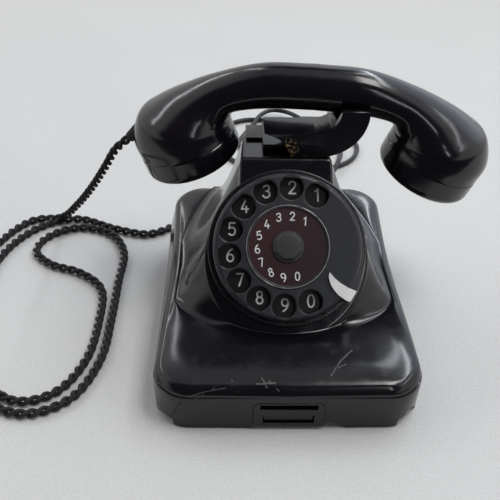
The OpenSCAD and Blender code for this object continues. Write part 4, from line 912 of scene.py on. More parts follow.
def case_lines(b, t, counts):
    """Lines down the case from its top, one toward each point b of the foot, t inside its outside.
    From the upper part's edge a curve of (1-s)2, 2s(1-s) and s2 sweeps out to the sloping top,
    which sinks toward its rim by a crown, ends in a quarter circle, and the wall goes down past a
    soft knee. The counts are those of the steps on the top, edge, sweep, slope, rim and wall."""
    d = b - [0, HUB_Y]
    rb = np.linalg.norm(d, axis=1)
    ux, uy = (d / rb[:, None]).T
    tilt = math.radians(DIAL_TILT)
    rh = neck_reach(ux, uy, t)
    er, rr = max(EDGE_R - t, 1), max(RIM_R - t, 2)
    reach = rh - er
    crease = DIAL_Y + (NECK_Z - t - DIAL_Z + (RING_H + t) / math.sin(tilt)) * math.tan(tilt)
    fold = np.clip((crease - HUB_Y) / np.maximum(uy, 0.01), 0.25 * reach, 0.9 * reach)
    fold = np.where(uy > 0.01, fold, 0.9 * reach)
    flare = FLARE_FRONT + (FLARE - FLARE_FRONT) * (1 + np.minimum(uy, 0)) ** 1.5
    r_end = np.minimum(rh + flare, rb - rr - 4)
    z_end = slope_z(HUB_Y + uy * r_end, t)
    h = np.maximum(neck_top_z(HUB_Y + uy * rh, t) - er - z_end, 1)
    start = np.minimum(0.45 * h, 0.6 * (r_end - rh))
    z_rim = slope_z(b[:, 1], t)
    r_rim = rb - LEAN * np.maximum(z_rim - WALL_Z, 0) * np.maximum(abs(ux), np.clip(uy, 0, 1))

    def col(x):
        """One number for each line, as a column beside the steps down it."""
        return x[:, None]

    def rows(r, z):
        """Radius and height, one pair for each step."""
        return np.stack([r, z], -1)

    def on_top(r):
        """Height of the upper part's top at a radius."""
        return neck_top_z(HUB_Y + col(uy) * r, t)

    def on_slope(r):
        """Height of the sloping top at a radius."""
        return slope_z(HUB_Y + col(uy) * r, t)

    n_top, n_edge, n_sweep, n_flat, n_rim, n_wall = counts
    # The top, with five rows close together at the fold between the dial's plane and the neck's top
    close = np.minimum(1.5, 0.45 * (reach - fold))
    r = np.hstack([col(reach) * np.linspace(0.06, 1, n_top), col(fold) + col(close) * np.linspace(-1, 1, 5)])
    r = np.sort(r, axis=1)
    parts = [rows(np.zeros((len(b), 1)), np.full((len(b), 1), neck_top_z(HUB_Y, t))), rows(r, on_top(r))]
    g = quarter(n_edge + 1)[1:]
    r = col(rh - er) + er * np.sin(g)
    parts.append(rows(r, on_top(r) - er * (1 - np.cos(g))))
    s = np.linspace(0, 1, n_sweep + 1)[1:]
    r = col(rh) + 2 * s * (1 - s) * col(start) + s ** 2 * col(r_end - rh)
    parts.append(rows(r, col(z_end) + col(h) * (1 - s) ** 2))
    # The slope and its rim
    dip = math.atan(2 * CROWN / CROWN_W)
    r_flat = r_rim - rr + rr * math.sin(dip)
    width = np.minimum(CROWN_W, 0.9 * (r_flat - r_end))
    r = col(r_end) + col(r_flat - r_end) * np.linspace(0, 1, n_flat + 1)[1:]
    sunk = CROWN * np.clip(1 - col(1 / width) * (col(r_flat) - r), 0, 1) ** 2
    parts.append(rows(r, on_slope(r) - sunk))
    g = np.linspace(dip, np.pi / 2, n_rim + 1)[1:]
    r = col(r_rim - rr) + rr * np.sin(g)
    parts.append(rows(r, on_slope(r) - CROWN - rr * (math.cos(dip) - np.cos(g))))
    # The wall: down to the knee, over it and on to the foot, where the broken places bite into it
    knee = rows(rb, np.minimum(WALL_Z, z_rim - rr - 1))[:, None]
    foot = rows(rb - FOOT_IN * abs(ux), FOOT_Z + broken(b))[:, None]
    up, down = parts[-1][:, -1:] - knee, foot - knee
    lu, ld = (np.linalg.norm(x, axis=2, keepdims=True) for x in (up, down))
    ka, kb = (knee + x / l * np.minimum(KNEE, 0.5 * l) for x, l in ((up, lu), (down, ld)))
    s = np.linspace(0, 1, 6)[None, :, None]
    parts.append((1 - s) ** 2 * ka + 2 * s * (1 - s) * knee + s ** 2 * kb)
    s = (np.linspace(0, 1, n_wall + 1)[1:] ** 0.7)[None, :, None]
    wall = kb + (foot - kb) * s
    low = np.clip(1 - (wall[..., 1] - foot[..., 1]) / BITE_H, 0, 1) ** 1.4
    wall[..., 0] -= BITE_DEPTH * (np.clip(broken(b) / 3.0, 0, 1)[:, None] * low)
    r, z = np.moveaxis(np.concatenate([*parts, wall], 1), -1, 0)
    return np.stack([ux[:, None] * r, HUB_Y + uy[:, None] * r, z], -1)


def case_openings():
    """A cutter for the holes of the dial, key, cradle rods and cords. The key's is an arch: upright
    sides and quarter circles at its upper corners."""
    half, top, r = KEY_W / 2 + SEAT_GAP, KEY_Z + KEY_H + SEAT_GAP, KEY_CORNER
    arch = np.vstack([[(-half, -1), (half, -1)], arc(half - r, top - r, r, np.linspace(0, np.pi / 2, 9)),
                      arc(r - half, top - r, r, np.linspace(np.pi / 2, np.pi, 9))])
    key = CASE @ shift(KEY_X, -CASE_D / 2 + WALL + 2, 0) @ turn("X", 90)
    shapes = [(DIAL, *bar(CAN_R + 1, -11, 5, 128)), (key, *plate(arch, 0, WALL + 4))]
    for x in ROD_X:
        shapes.append((CASE @ shift(x, ROD_Y, 0), *bar(ROD_HOLE, NECK_Z - 8, NECK_Z + 2, 48)))
    for x, r in GLAND_HOLES:
        back = CASE @ shift(x, CASE_D / 2 + 2, GLAND_Z) @ turn("X", 90)
        shapes.append((back, *bar(r, 0, WALL + 4, 48)))
    return cutter(*shapes)


def case_posts():
    """Four screw posts, each a bored round bar that widens upward, with a web into its corner."""
    posts = Skin()
    web, faces = plate([(-1.2, 0), (1.2, 0), (1.2, 6.6), (-1.2, 6.6)], POST_Z + 1, WALL_Z - 6)
    for sx, sy in ((-1, -1), (-1, 1), (1, -1), (1, 1)):
        x = sx * (CASE_W / 2 - SCREW_INSET - (TAPER if sy > 0 else 0))
        y = sy * (CASE_D / 2 - SCREW_INSET)
        top, bored = slope_z(y, WALL) + 0.6, POST_Z + POST_BORE
        profile = [(SCREW_HOLE, POST_Z), (POST_LOW_R, POST_Z), (POST_R, top), (0, top), (0, bored),
                   (SCREW_HOLE, bored)]
        posts.grid(spun(profile, 32) + [x, y, 0], round_u=True, round_v=True)
        posts.faces(put(shift(x, y, 0) @ turn("Z", -sx * 45 if sy > 0 else 180 + sx * 45), web), faces)
    return posts.make("case_posts", 30)


class TELEPHONE_OT_case(Operator):
    """Moulds the case with its posts, its openings and broken edges"""

    bl_idname = "telephone.case"
    bl_label = "Case"

    def execute(self, context):
        outer = case_lines(foot_outline(0), 0, (16, 8, 26, 16, 12, 12))
        inner = case_lines(foot_outline(WALL), WALL, (6, 1, 8, 3, 3, 2))
        skin = Skin().grid(np.concatenate([outer, inner[:, ::-1]], 1), round_u=True)
        shell = dressed(skin.make("case_moulding", 38), "telephone", "case_bakelite", "case_shell")
        carved(shell, case_openings(), 38)
        posts = dressed(case_posts(), "telephone", "case_bakelite")
        finish_on(case_resin(context.scene.telephone_colours.resin), shell, posts)
        return {"FINISHED"}


class TELEPHONE_OT_base(Operator):
    """Finishes the base plate, its feet and screws"""

    bl_idname = "telephone.base"
    bl_label = "Base"

    def execute(self, context):
        finish_on(metal("dull steel", (0.2, 0.2, 0.205), 0.42, 5.0, rust=0.5), "base_plate")
        finish_on(rubber(context.scene.telephone_colours.rubber), "rubber_feet", "handset_gland",
                  "rear_handset_gland", "rear_line_gland", bpy.data.objects["line_cord_sleeve"])
        finish_on(metal("zinc plate", (0.46, 0.45, 0.42), 0.35, 2.5), "base_screws", "bell_posts",
                  "gong_screws", "hook_bracket", "hook_lever", "clapper", "dial_bridge")
        return {"FINISHED"}


class TELEPHONE_OT_key(Operator):
    """Shapes the key in the front and its frame"""

    bl_idname = "telephone.key"
    bl_label = "Front key"

    def execute(self, context):
        rim = eased(copied("front_key_frame", "front_key_surround"), 0.5, 3, 40)
        key = eased(copied("front_key", "front_key_bar"), 0.6, 3, 40)
        dressed(rim, "telephone", "trim_bakelite")
        dressed(key, "front_key", "trim_bakelite")
        colour = context.scene.telephone_colours.resin
        finish_on(resin_trim("key resin", colour, 0.25, 1.7), rim)
        finish_on(resin_trim("key bar resin", colour, 0.22, 2.6), key)
        finish_on(metal("spring brass", (0.6, 0.42, 0.16), 0.32, 2.0), "key_contacts", "hook_contacts",
                  "pulse_contacts", "main_gear", "guide_bushes", "plug_pins")
        return {"FINISHED"}


# ------------------------------------------------------------------ dial

WHEEL_R, WHEEL_TOP, WHEEL_T, SKIRT_T, SKIRT_Z, HUB_R = RING_R - 3.05, 7.5, 3.0, 1.5, 0.6, 7.0
FIRST_HOLE, HOLE_PITCH, HOLES, CELLS, HOLE_R, FINGER_R = 60.7, 360 / 14, 10, 14, 7.25, 35.5
CARD_R, CARD_SEAT, CARD_RIM, SHAFT_R = 23.3, 6.6, 1.9, 3.0
# The part of the wheel that is made of cells lies between these two circles, in so many steps a cell
CELLS_IN, CELLS_OUT, CELL_STEPS = CARD_R + CARD_RIM + 0.5, WHEEL_R - 3.2, 20
DIAL_NUMBERS = (1, 2, 3, 4, 5, 6, 7, 8, 9, 0)
CAP_LOW, CAP_DISC_R, CAP_DISC_Z, CAP_TOP = 7.6, 9.3, 9.0, 10.85

# A digit's strokes, in a box 1 high and 0.6 wide: "s" runs a curve through its points, "l" a line
DIGITS = {
    1: [("l", (-0.17, 0.79), (0.05, 1)), ("l", (0.05, 1), (0.05, 0))],
    2: [("s", (-0.25, 0.75), (-0.2, 0.91), (-0.01, 1), (0.19, 0.93), (0.26, 0.74), (0.17, 0.5),
         (-0.05, 0.24), (-0.26, 0)), ("l", (-0.26, 0), (0.27, 0))],
    3: [("s", (-0.23, 0.85), (-0.12, 0.97), (0.04, 1), (0.2, 0.92), (0.23, 0.75), (0.15, 0.59),
         (-0.02, 0.53)),
        ("s", (-0.02, 0.53), (0.17, 0.49), (0.26, 0.32), (0.22, 0.11), (0.04, 0), (-0.15, 0.02),
         (-0.26, 0.15))],
    4: [("l", (0.04, 1), (-0.27, 0.28)), ("l", (-0.27, 0.28), (0.29, 0.28)), ("l", (0.12, 0.5), (0.12, 0))],
    5: [("l", (0.22, 1), (-0.19, 1)), ("l", (-0.19, 1), (-0.23, 0.54)),
        ("s", (-0.23, 0.54), (-0.06, 0.63), (0.13, 0.6), (0.25, 0.45), (0.25, 0.22), (0.14, 0.05),
         (-0.05, 0), (-0.24, 0.1))],
    6: [("s", (0.15, 1), (-0.07, 0.83), (-0.22, 0.58), (-0.26, 0.3), (-0.18, 0.08), (0, 0),
         (0.18, 0.07), (0.26, 0.28), (0.18, 0.5), (0, 0.58), (-0.17, 0.51), (-0.25, 0.36))],
    7: [("l", (-0.25, 1), (0.25, 1)), ("l", (0.25, 1), (-0.07, 0))],
    8: [("s", *[(r * math.sin(a), z + h * math.cos(a)) for a in np.linspace(0, 2 * np.pi, 13)])
        for r, z, h in ((0.21, 0.77, 0.23), (0.26, 0.27, 0.27))],
    0: [("s", *[(0.26 * np.sign(math.sin(a)) * abs(math.sin(a)) ** 0.85, 0.5 + 0.5 * math.cos(a))
                for a in np.linspace(0, 2 * np.pi, 17)])],
}
DIGITS[9] = [(kind, *[(-x, 1 - y) for x, y in points]) for kind, *points in DIGITS[6]]


def digit(skin, number, centre, z, height, width, lean=0.0):
    """Lays a digit's strokes on a plate: each is a flattened round line with round ends, whose
    radius at a distance q past the last point is the root of width2 - q2."""
    q = np.array([0, 0.45, 0.8, 0.97])
    spin = turn("Z", lean)[:2, :2]
    for kind, *points in DIGITS[number]:
        p = (np.array(points) - [0, 0.5]) * height @ spin.T + centre
        p, _ = evenly(smooth_line(p, 5) if kind == "s" else p, 0.3)
        a, b = p[0] - p[1], p[-1] - p[-2]
        a, b = a / np.linalg.norm(a), b / np.linalg.norm(b)
        line = np.vstack([p[0] + a * width * q[::-1, None], p[1:-1], p[-1] + b * width * q[:, None]])
        end = width * np.sqrt(1 - q ** 2)
        radii = np.concatenate([end[::-1], np.full(len(p) - 2, width), end])
        path = np.c_[line, np.full(len(line), z)]
        skin.grid(carried(path, radii, 10, flat=0.16), round_v=True)


def wheel_cell(middle, hole, edge=12, corner=0.9, low_corner=0.5):
    """One sector of the finger wheel. Its border is walked once round; each border point is joined
    to the point of the hole's circle in the same direction, so the rows close round the hole."""
    half, steps = math.radians(HOLE_PITCH / 2), CELL_STEPS
    a = np.linspace(-half, half, steps + 1)[:-1]
    r = np.linspace(CELLS_OUT, CELLS_IN, edge + 1)[:-1]
    polar = np.vstack([np.c_[np.full(steps, CELLS_OUT), a], np.c_[r, np.full(edge, half)],
                       np.c_[np.full(steps, CELLS_IN), -a],
                       np.c_[CELLS_IN + CELLS_OUT - r, np.full(edge, -half)]])
    border = np.c_[polar[:, 0] * np.cos(polar[:, 1]), polar[:, 0] * np.sin(polar[:, 1])]
    top, low = WHEEL_TOP, WHEEL_TOP - WHEEL_T
    away = border - [FINGER_R, 0]
    ray = away / np.linalg.norm(away, axis=1, keepdims=True)
    cos, sin = toward(middle)

    def level(xy, z):
        """Points of the sector along X, turned to its own angle at a height."""
        x, y = xy.T
        return np.stack([x * cos - y * sin, x * sin + y * cos, np.full(len(xy), z)], -1)

    def circle(radius, z):
        """The hole's circle at a radius, a point for each of the border's."""
        return level([FINGER_R, 0] + ray * radius, z)

    if not hole:
        return [np.array([level([FINGER_R, 0] + away * k, z) for k in (1, 0.6, 0.3, 0)])
                for z in (top, low)]
    between = (border + [FINGER_R, 0] + ray * (HOLE_R + corner)) / 2
    rows = [level(border, top), level(between, top)]
    rows += [circle(HOLE_R + corner * (1 - math.sin(x)), top - corner * (1 - math.cos(x)))
             for x in quarter(6)]
    rows += [circle(HOLE_R + low_corner * (1 - math.cos(x)), low + low_corner * (1 - math.sin(x)))
             for x in quarter(4)]
    return [np.array([*rows, level(border, low)])]


def finger_wheel():
    """Fourteen cells, ten of them with a hole, between a rolled rim and skirt and the card's seat,
    whose profiles are turned through the cells' own angles."""
    skin = Skin(DIAL)
    angles = []
    for k in range(CELLS):
        middle = FIRST_HOLE + k * HOLE_PITCH
        angles.append(middle + np.linspace(-HOLE_PITCH / 2, HOLE_PITCH / 2, CELL_STEPS + 1)[:-1])
        for g in wheel_cell(middle, k < HOLES):
            skin.grid(g, round_v=True)
    top, low, seat_r, skirt_in = WHEEL_TOP, WHEEL_TOP - WHEEL_T, CARD_R + CARD_RIM, WHEEL_R - SKIRT_T
    skirt = [(WHEEL_R, top - 3.2), (WHEEL_R, SKIRT_Z), (skirt_in, SKIRT_Z), (skirt_in, 2.9)]
    outside = [(CELLS_OUT, top), *arc(WHEEL_R - 3, top - 3, 3, quarter(9)[::-1]),
               *rounded(skirt, 0.4, 2, False), (CELLS_OUT, low)]
    seat = [(CELLS_IN, top), (seat_r, top), (seat_r, CARD_SEAT), (SHAFT_R, CARD_SEAT)]
    inside = [(CELLS_IN, top), *rounded(seat, 0.3, 3, False), (SHAFT_R, CARD_SEAT), (SHAFT_R, SKIRT_Z),
              (HUB_R, SKIRT_Z), (HUB_R, low), (CELLS_IN, low)]
    for profile in (outside, inside):
        skin.grid(turned(profile, np.radians(np.concatenate(angles))), round_v=True)
    return skin.make("finger_wheel_pressed", 40, merge=0.01)


def card_ring():
    """The ring round the card: a low rounded step with a groove near its inner edge."""
    out = CARD_R + CARD_RIM - 0.05
    profile = [(out, CARD_SEAT), (out, 8.15), (CARD_R + 1.35, 8.35), (CARD_R + 1.2, 7.95),
               (CARD_R + 0.85, 7.95), (CARD_R + 0.7, 8.3), (CARD_R, 8.1), (CARD_R, CARD_SEAT)]
    skin = Skin(DIAL).grid(spun(rounded(profile, 0.15, 3), 192), True, True)
    return skin.make("card_ring_rolled", 50)


def centre_cap():
    """An eight-sided frustum on a disc, with every edge softened: over the disc the radius is
    multiplied by that of an octagon, (cos 22.5 / cos of the angle from its side's middle) ^ 0.8."""
    a = around(192)
    octagon = (math.cos(np.pi / 8) / np.cos((a + np.pi / 8) % (np.pi / 4) - np.pi / 8)) ** 0.8
    profile = rounded([(0, CAP_LOW), (CAP_DISC_R, CAP_LOW), (CAP_DISC_R, CAP_DISC_Z), (8.75, CAP_DISC_Z),
                       (7.7, 10.75), (0, CAP_TOP)], 0.55, 4, False)
    g = turned(profile, a)
    g[..., :2] *= np.where(profile[:, 1, None] > CAP_DISC_Z + 0.02, octagon, 1)[..., None]
    return Skin(DIAL).grid(g, round_v=True).make("centre_cap_moulded", 30)


class TELEPHONE_OT_dial(Operator):
    """Rounds the bezel of the dial's housing, and adds the number plate's digits and the finger stop"""

    bl_idname = "telephone.dial"
    bl_label = "Dial body"

    def execute(self, context):
        colours = context.scene.telephone_colours

        def on_bezel(points):
            """Edges of the ring's top, whose height over the dial's plane is near nothing."""
            p = points - DIAL[:3, 3]
            high = p @ DIAL[:3, 2]
            out = np.linalg.norm(p - high[:, None] * DIAL[:3, 2], axis=1)
            return (abs(high) < 0.3) & (out > RING_R - 4)

        housing = eased(copied("dial_housing", "dial_housing_turned"), 0.75, 4, chosen=on_bezel)
        dressed(housing, "telephone", "trim_bakelite")
        skin = Skin(DIAL)
        for k, number in enumerate(DIAL_NUMBERS):
            at = FINGER_R * toward(FIRST_HOLE + k * HOLE_PITCH) + [0.8, 0.9]
            digit(skin, number, at, z=1.62, height=7.3, width=0.5)
        numbers = dressed(skin.make("plate_digits", 60), "telephone", "plate_enamel")
        stop = eased(copied("finger_stop", "finger_stop_claw", 30), 0.45, 4, 30)
        dressed(stop, "telephone", "nickel")

        finish_on(resin_trim("bezel enamel", colours.resin, 0.24, 4.1), housing)
        finish_on(plate_enamel(), "number_plate")
        finish_on(number_paint("white digit enamel", colours.digits, 1.2, 0.5, 0.82, 0.32,
                               Specular_IOR_Level=0.4), numbers)
        finish_on(nickel_painted_white(), stop)
        finish_on(metal("bright nickel", (0.86, 0.85, 0.82), 0.2, 4.0), "bell_gongs")
        finish_on(metal("blued steel", (0.16, 0.17, 0.19), 0.34, 2.0), "return_spring", "cradle_spring")
        return {"FINISHED"}


class TELEPHONE_OT_wheel(Operator):
    """Presses the finger wheel, and adds its card, card ring and middle cap"""

    bl_idname = "telephone.wheel"
    bl_label = "Dial wheel"

    def execute(self, context):
        colours = context.scene.telephone_colours
        wheel = dressed(finger_wheel(), "dial_wheel", "wheel_enamel", "finger_wheel")
        band = dressed(card_ring(), "dial_wheel", "nickel", "card_ring")
        cap = dressed(centre_cap(), "dial_wheel", "trim_bakelite", "centre_cap")
        # The card's digits: a little behind the holes, the upper ones leaning one way, the lower the other
        skin = Skin(DIAL)
        for k, number in enumerate(DIAL_NUMBERS):
            angle = FIRST_HOLE - 4.5 + k * HOLE_PITCH
            lean = (angle - 90) * 0.12 if angle < 270 else (angle - 270) * 0.1
            digit(skin, number, 18.4 * toward(angle), z=7.62, height=4.7, width=0.36, lean=lean)
        numbers = dressed(skin.make("card_digits", 60), "dial_wheel", "card")

        finish_on(wheel_enamel(colours.wheel), wheel)
        finish_on(printed_card(colours.card), "number_card")
        finish_on(crest_highlight_ring(colours.wheel), band)
        finish_on(resin_trim("dull cap resin", (0.028, 0.029, 0.031), 0.45, 3.3), cap)
        finish_on(number_paint("white print", colours.digits, 0.7, 0.55, 0.75, 0.5), numbers)
        finish_on(metal("turned steel", (0.5, 0.49, 0.46), 0.28, 1.5), "dial_shaft", "pulse_cam", "governor",
                  "cradle_rods", "lever_pin", "clapper_pin")
        return {"FINISHED"}


# ------------------------------------------------------------------ cradle, works and bells

class TELEPHONE_OT_cradle(Operator):
    """Softens the cradle's moulded edges and roughens its break"""

    bl_idname = "telephone.cradle"
    bl_label = "Cradle"

    def execute(self, context):
        cradle = eased(copied("cradle", "cradle_moulding", 40), 1.1, 4, 50)
        dressed(cradle, "cradle", "trim_bakelite")
        finish_on(cradle_resin(context.scene.telephone_colours.resin), cradle)
        return {"FINISHED"}


class TELEPHONE_OT_works(Operator):
    """Finishes the bells, coils and circuit parts inside the case"""

    bl_idname = "telephone.works"
    bl_label = "Works"

    def execute(self, context):
        finish_on(metal("japanned frame", (0.14, 0.145, 0.15), 0.4, 4.0, rust=0.3), "ringer_frame")
        finish_on(winding(), "ringer_coils")
        finish_on(waxed_paper(), "induction_coil")
        finish_on(metal("tinned can", (0.52, 0.52, 0.5), 0.36, 4.0, rust=0.2), "capacitor",
                  "receiver_capsule", "transmitter_capsule")
        finish_on(resin_trim("brown resin", (0.07, 0.032, 0.014), 0.4, 6.4), "terminal_block")
        return {"FINISHED"}


# ------------------------------------------------------------------ handset

CUP_OUT, CUP_DOWN = toward(-CUP_TILT), toward(-90 - CUP_TILT)
LIP, CAP_BEND, GRILLE_IN, GRILLE_SUNK = 0.5, 6.0, 9.0, 1.2
# The holes of a grille: their rings' radii and counts, and their diameter
EAR_GRILLE = ((0, 1), (7, 6)), 3.0
MOUTH_GRILLE = ((0, 1), (6, 6), (12, 12)), 2.4


def handset_sections():
    """Sections of the right half, each an outer point, an inner point and a half width."""
    middle = np.array([CUP_X, CUP_Z])
    out, inn = middle + CAP_R * CUP_OUT, middle - CAP_R * CUP_OUT
    return [(0, 14, 0, -14, 14), (32, 12.5, 27, -15, 14), (61, 3.5, 47, -18, 15.5),
            (85.5, -8.3, 50.2, -21.3, 20.5),
            (*(out + [-7.6, 35.7]), *(inn + [2.6, 7.2]), CAP_R - 5.5),
            (*(out + [1.3, 27.4]), *(inn + [1.9, 5.2]), CAP_R - 2),
            (*(out + [4.4, 12.4]), *(inn + [1.1, 2.8]), CAP_R - 0.6), (*out, *inn, CAP_R)]


def handset_hollow():
    """Sections of the right half's inside: the capsule's chamber, from the cup's face inward, and
    the channel through the grip."""
    rows = []
    for depth, r in ((0, CHAMBER_R), (10, CHAMBER_R - 1), (18, 18), (18, 6)):
        middle = np.array([CUP_X, CUP_Z]) - depth * CUP_DOWN
        rows.append((*(middle + r * CUP_OUT), *(middle - r * CUP_OUT), r))
    return [*rows, (72, -8, 66, -17.5, 5), (38, 1.5, 36, -8, 5), (0, 5, 0, -5, 5)]


def handset_ring(side, section, sides=96):
    """An oval round the handset: middle + half the section cos a, with half the width sin a across."""
    ox, oz, ix, iz, w = section
    a = around(sides)
    return np.stack([side * ((ox + ix) / 2 + (ox - ix) / 2 * np.cos(a)), w * np.sin(a),
                     (oz + iz) / 2 + (oz - iz) / 2 * np.cos(a)], -1)


def handset_shell():
    """The sections joined into one closed skin: over the outside from left to right and back through
    the inside. Each cup ends in a lip drawn in a little, so that a fine seam shows over the cap."""
    half = smooth_line(handset_sections(), 10)
    lip = half[-1] + [*(-LIP * CUP_OUT), *(LIP * CUP_OUT), -LIP]
    half[-1, :4] -= LIP * np.tile(CUP_DOWN, 2)
    half, inside = np.vstack([half, lip]), handset_hollow()
    rings = [handset_ring(-1, x) for x in half[:0:-1]] + [handset_ring(1, x) for x in half]
    rings += [handset_ring(1, x) for x in inside] + [handset_ring(-1, x) for x in inside[-2::-1]]
    return Skin(HANDSET).grid(np.array(rings), True, True).make("handset_moulding", 40)


def handset_cap(name, side, rings, hole_d):
    """A cap turned round its own axis: a thread wall, a bend of a quarter circle and a face sunk in
    its middle, with its grille's holes cut through."""
    thread, floor, r = CHAMBER_R - 2.4, CAP_H - 4.2, CAP_BEND
    wall = [(thread, -6), (CHAMBER_R - 0.9, -6), (CHAMBER_R - 0.9, 0.1), (CAP_R - 0.6, 0.1), (CAP_R, 0.7),
            (CAP_R, CAP_H - r)]
    bend = arc(CAP_R - r, CAP_H - r, r, quarter(15)[1:])
    sunk = CAP_H - GRILLE_SUNK
    face = [(CAP_R - 8, CAP_H), (CAP_R - GRILLE_IN, sunk), (8, sunk), (0, sunk), (0, floor),
            (CHAMBER_R - 4, floor), (thread, CAP_H - 6)]
    cap = Skin(cup(side)).grid(spun([*wall, *bend, *face], 128), True, True).make(name, 32)
    places = [cup(side) @ turn("Z", 360 / n * k) @ shift(at, 0, 0) for at, n in rings for k in range(n)]
    return carved(cap, cutter(*((p, *bar(hole_d / 2, CAP_H - 6, CAP_H + 1, 24)) for p in places)), 32)


class TELEPHONE_OT_handset(Operator):
    """Lofts the handset's body and turns its two caps"""

    bl_idname = "telephone.handset"
    bl_label = "Handset"

    def execute(self, context):
        colour = context.scene.telephone_colours.resin
        shell = dressed(handset_shell(), "handset", "handset_bakelite", "handset_shell")
        ear = dressed(handset_cap("ear_cap_turned", 1, *EAR_GRILLE), "handset", "handset_bakelite", "ear_cap")
        mouth = dressed(handset_cap("mouth_cap_turned", -1, *MOUTH_GRILLE), "handset", "handset_bakelite",
                        "mouth_cap")
        finish_on(handset_resin("handset resin", colour, 7.7), shell)
        finish_on(handset_resin("ear cap resin", colour, 8.3), ear)
        finish_on(handset_resin("mouth cap resin", colour, 9.1, CAP_SCRATCHES), mouth)
        return {"FINISHED"}


# ------------------------------------------------------------------ camera, floor and light

CAMERA_AT, CAMERA_DOWN, CAMERA_LEFT, CAMERA_ROLL = (-42.7, -461.1, 391.6), 35.61, 2.66, 1.83
LENS, SENSOR, NEAREST, FARTHEST = 64.8, 36, 0.01, 100
# The floor ends in front of the telephone, so that its front mirrors the dim part of the room. It
# fades from that edge over some millimetres, and between two distances from the middle, in metres.
FLOOR_FRONT, FLOOR_REACH, FLOOR_FADE, FLOOR_LIT = -178.0, 4000, 26, (0.4, 0.9)
# Each part of the room that is darker or brighter: the way to its middle, the cosines where it
# starts and is full, and its colour
ROOM = (0.8, 0.79, 0.8)
ROOM_PARTS = (
    ((0, 0, 1), 0.80, 0.96, (0.45, 0.45, 0.47)),
    ((0, 0, -1), 0.0, 0.1, (0.05, 0.05, 0.06)),
    ((-0.17, -0.86, 0.48), 0.55, 0.78, (0.05, 0.05, 0.06)),
    ((0.52, 0.66, 0.54), 0.80, 0.92, (1.15, 1.25, 1.4)),
    ((0.06, 0.585, 0.809), 0.972, 0.989, (0.07, 0.07, 0.09)))
# Each lamp's name, place, the direction of its length, its length and width, power and colour
LAMPS = (
    ("lamp overhead", (0.55, -0.2, 1.8), (0, 1, 0), (0.9, 0.4), 10.0, (1.0, 0.98, 0.96)),
    ("ceiling strip", (0.95, 0.9, 1.9), (0, 1, 0), (2.6, 0.14), 11.0, (0.93, 0.97, 1.0)),
    ("right window", (1.25, -0.25, 1.3), (0, 1, 0), (1.1, 0.1), 1.6, (0.93, 0.97, 1.0)),
    ("left window", (-1.25, 1.0, 1.35), (0.6, 0.8, 0), (1.6, 0.14), 5.0, (0.93, 0.97, 1.0)),
    ("back window", (0.585, 1.02, 1.62), (0, 0, 1), (0.6, 0.2), 1.9, (0.9, 0.96, 1.0)),
    ("back window's far edge", (-0.48, 1.13, 1.58), (0, 0, 1), (0.6, 0.08), 1.1, (0.9, 0.96, 1.0)),
    ("front window", (0.5, -1.4, 1.0), (0, 0, 1), (0.8, 0.12), 1.5, (0.93, 0.97, 1.0)))


def pale_cloth(colour):
    """Woven cloth. Past its lit part and at its front edge, the camera sees it fade into the
    room's colour."""
    f = Finish("pale cloth", Specular_IOR_Level=0.1, Roughness=0.9, Emission_Strength=1.0)
    weave, cloud = f.noise(1.6, 3, 0.7), f.noise(120, 3, 0.5)
    shade = f.mix(cloud.step(0.3, 0.7), colour, tone(colour, 0.96))
    shade = f.mix(weave.step(0.3, 0.75), shade, tone(colour, 0.89))
    away = f.vector("DISTANCE", f.here, (0, 0, 0), out=1).step(*FLOOR_LIT)
    edge = f.axis("Y").step(FLOOR_FRONT, FLOOR_FRONT + FLOOR_FADE, 1.0, 0.0)
    fade = away.most(edge) * f.seen()
    return f.set(Base_Color=f.mix(fade, shade, (0, 0, 0)), Emission_Color=f.mix(fade, (0, 0, 0), colour),
                 Normal=f.bump(weave, 0.6, 0.8))


def studio(colour):
    """The room round the telephone, with its darker and brighter parts, and one colour behind."""
    world = bpy.data.worlds.new("studio")
    world.use_nodes = True
    sky = Finish.of_world(world)
    room = ROOM
    for way, start, full, shade in ROOM_PARTS:
        cosine = sky.vector("DOT_PRODUCT", sky.here, way, out=1)
        room = sky.mix(cosine.step(start, full), room, shade)
    sky.join(sky.mix(sky.seen(), room, colour), world.node_tree.nodes["Background"].inputs[0])
    return world


def hang_lamp(name, at, along, size, power, shade):
    """An oblong lamp that faces the telephone, its length as near as may be to a direction."""
    data = bpy.data.lights.new(name, "AREA")
    data.shape, data.energy, data.color = "RECTANGLE", power, shade
    data.size, data.size_y = size
    lamp = bpy.data.objects.new(name, data)
    bpy.context.scene.collection.objects.link(lamp)
    z = Vector(at).normalized()
    x = (Vector(along) - z * z.dot(Vector(along))).normalized()
    lamp.matrix_world = Matrix.Translation(at) @ Matrix((x, z.cross(x), z)).transposed().to_4x4()


class TELEPHONE_OT_camera(Operator):
    """Places the camera above and in front, turned and rolled a little"""

    bl_idname = "telephone.camera"
    bl_label = "Camera"

    def execute(self, context):
        place = (CASE @ shift(*CAMERA_AT) @ turn("Z", -CAMERA_LEFT) @ turn("X", 90 - CAMERA_DOWN)
                 @ turn("Z", CAMERA_ROLL))
        place[:3, 3] *= 0.001
        data = bpy.data.cameras.new("camera")
        data.lens, data.sensor_width, data.clip_start, data.clip_end = LENS, SENSOR, NEAREST, FARTHEST
        camera = bpy.data.objects.new("camera", data)
        context.scene.collection.objects.link(camera)
        camera.matrix_world = Matrix(place.tolist())
        context.scene.camera = camera
        return {"FINISHED"}


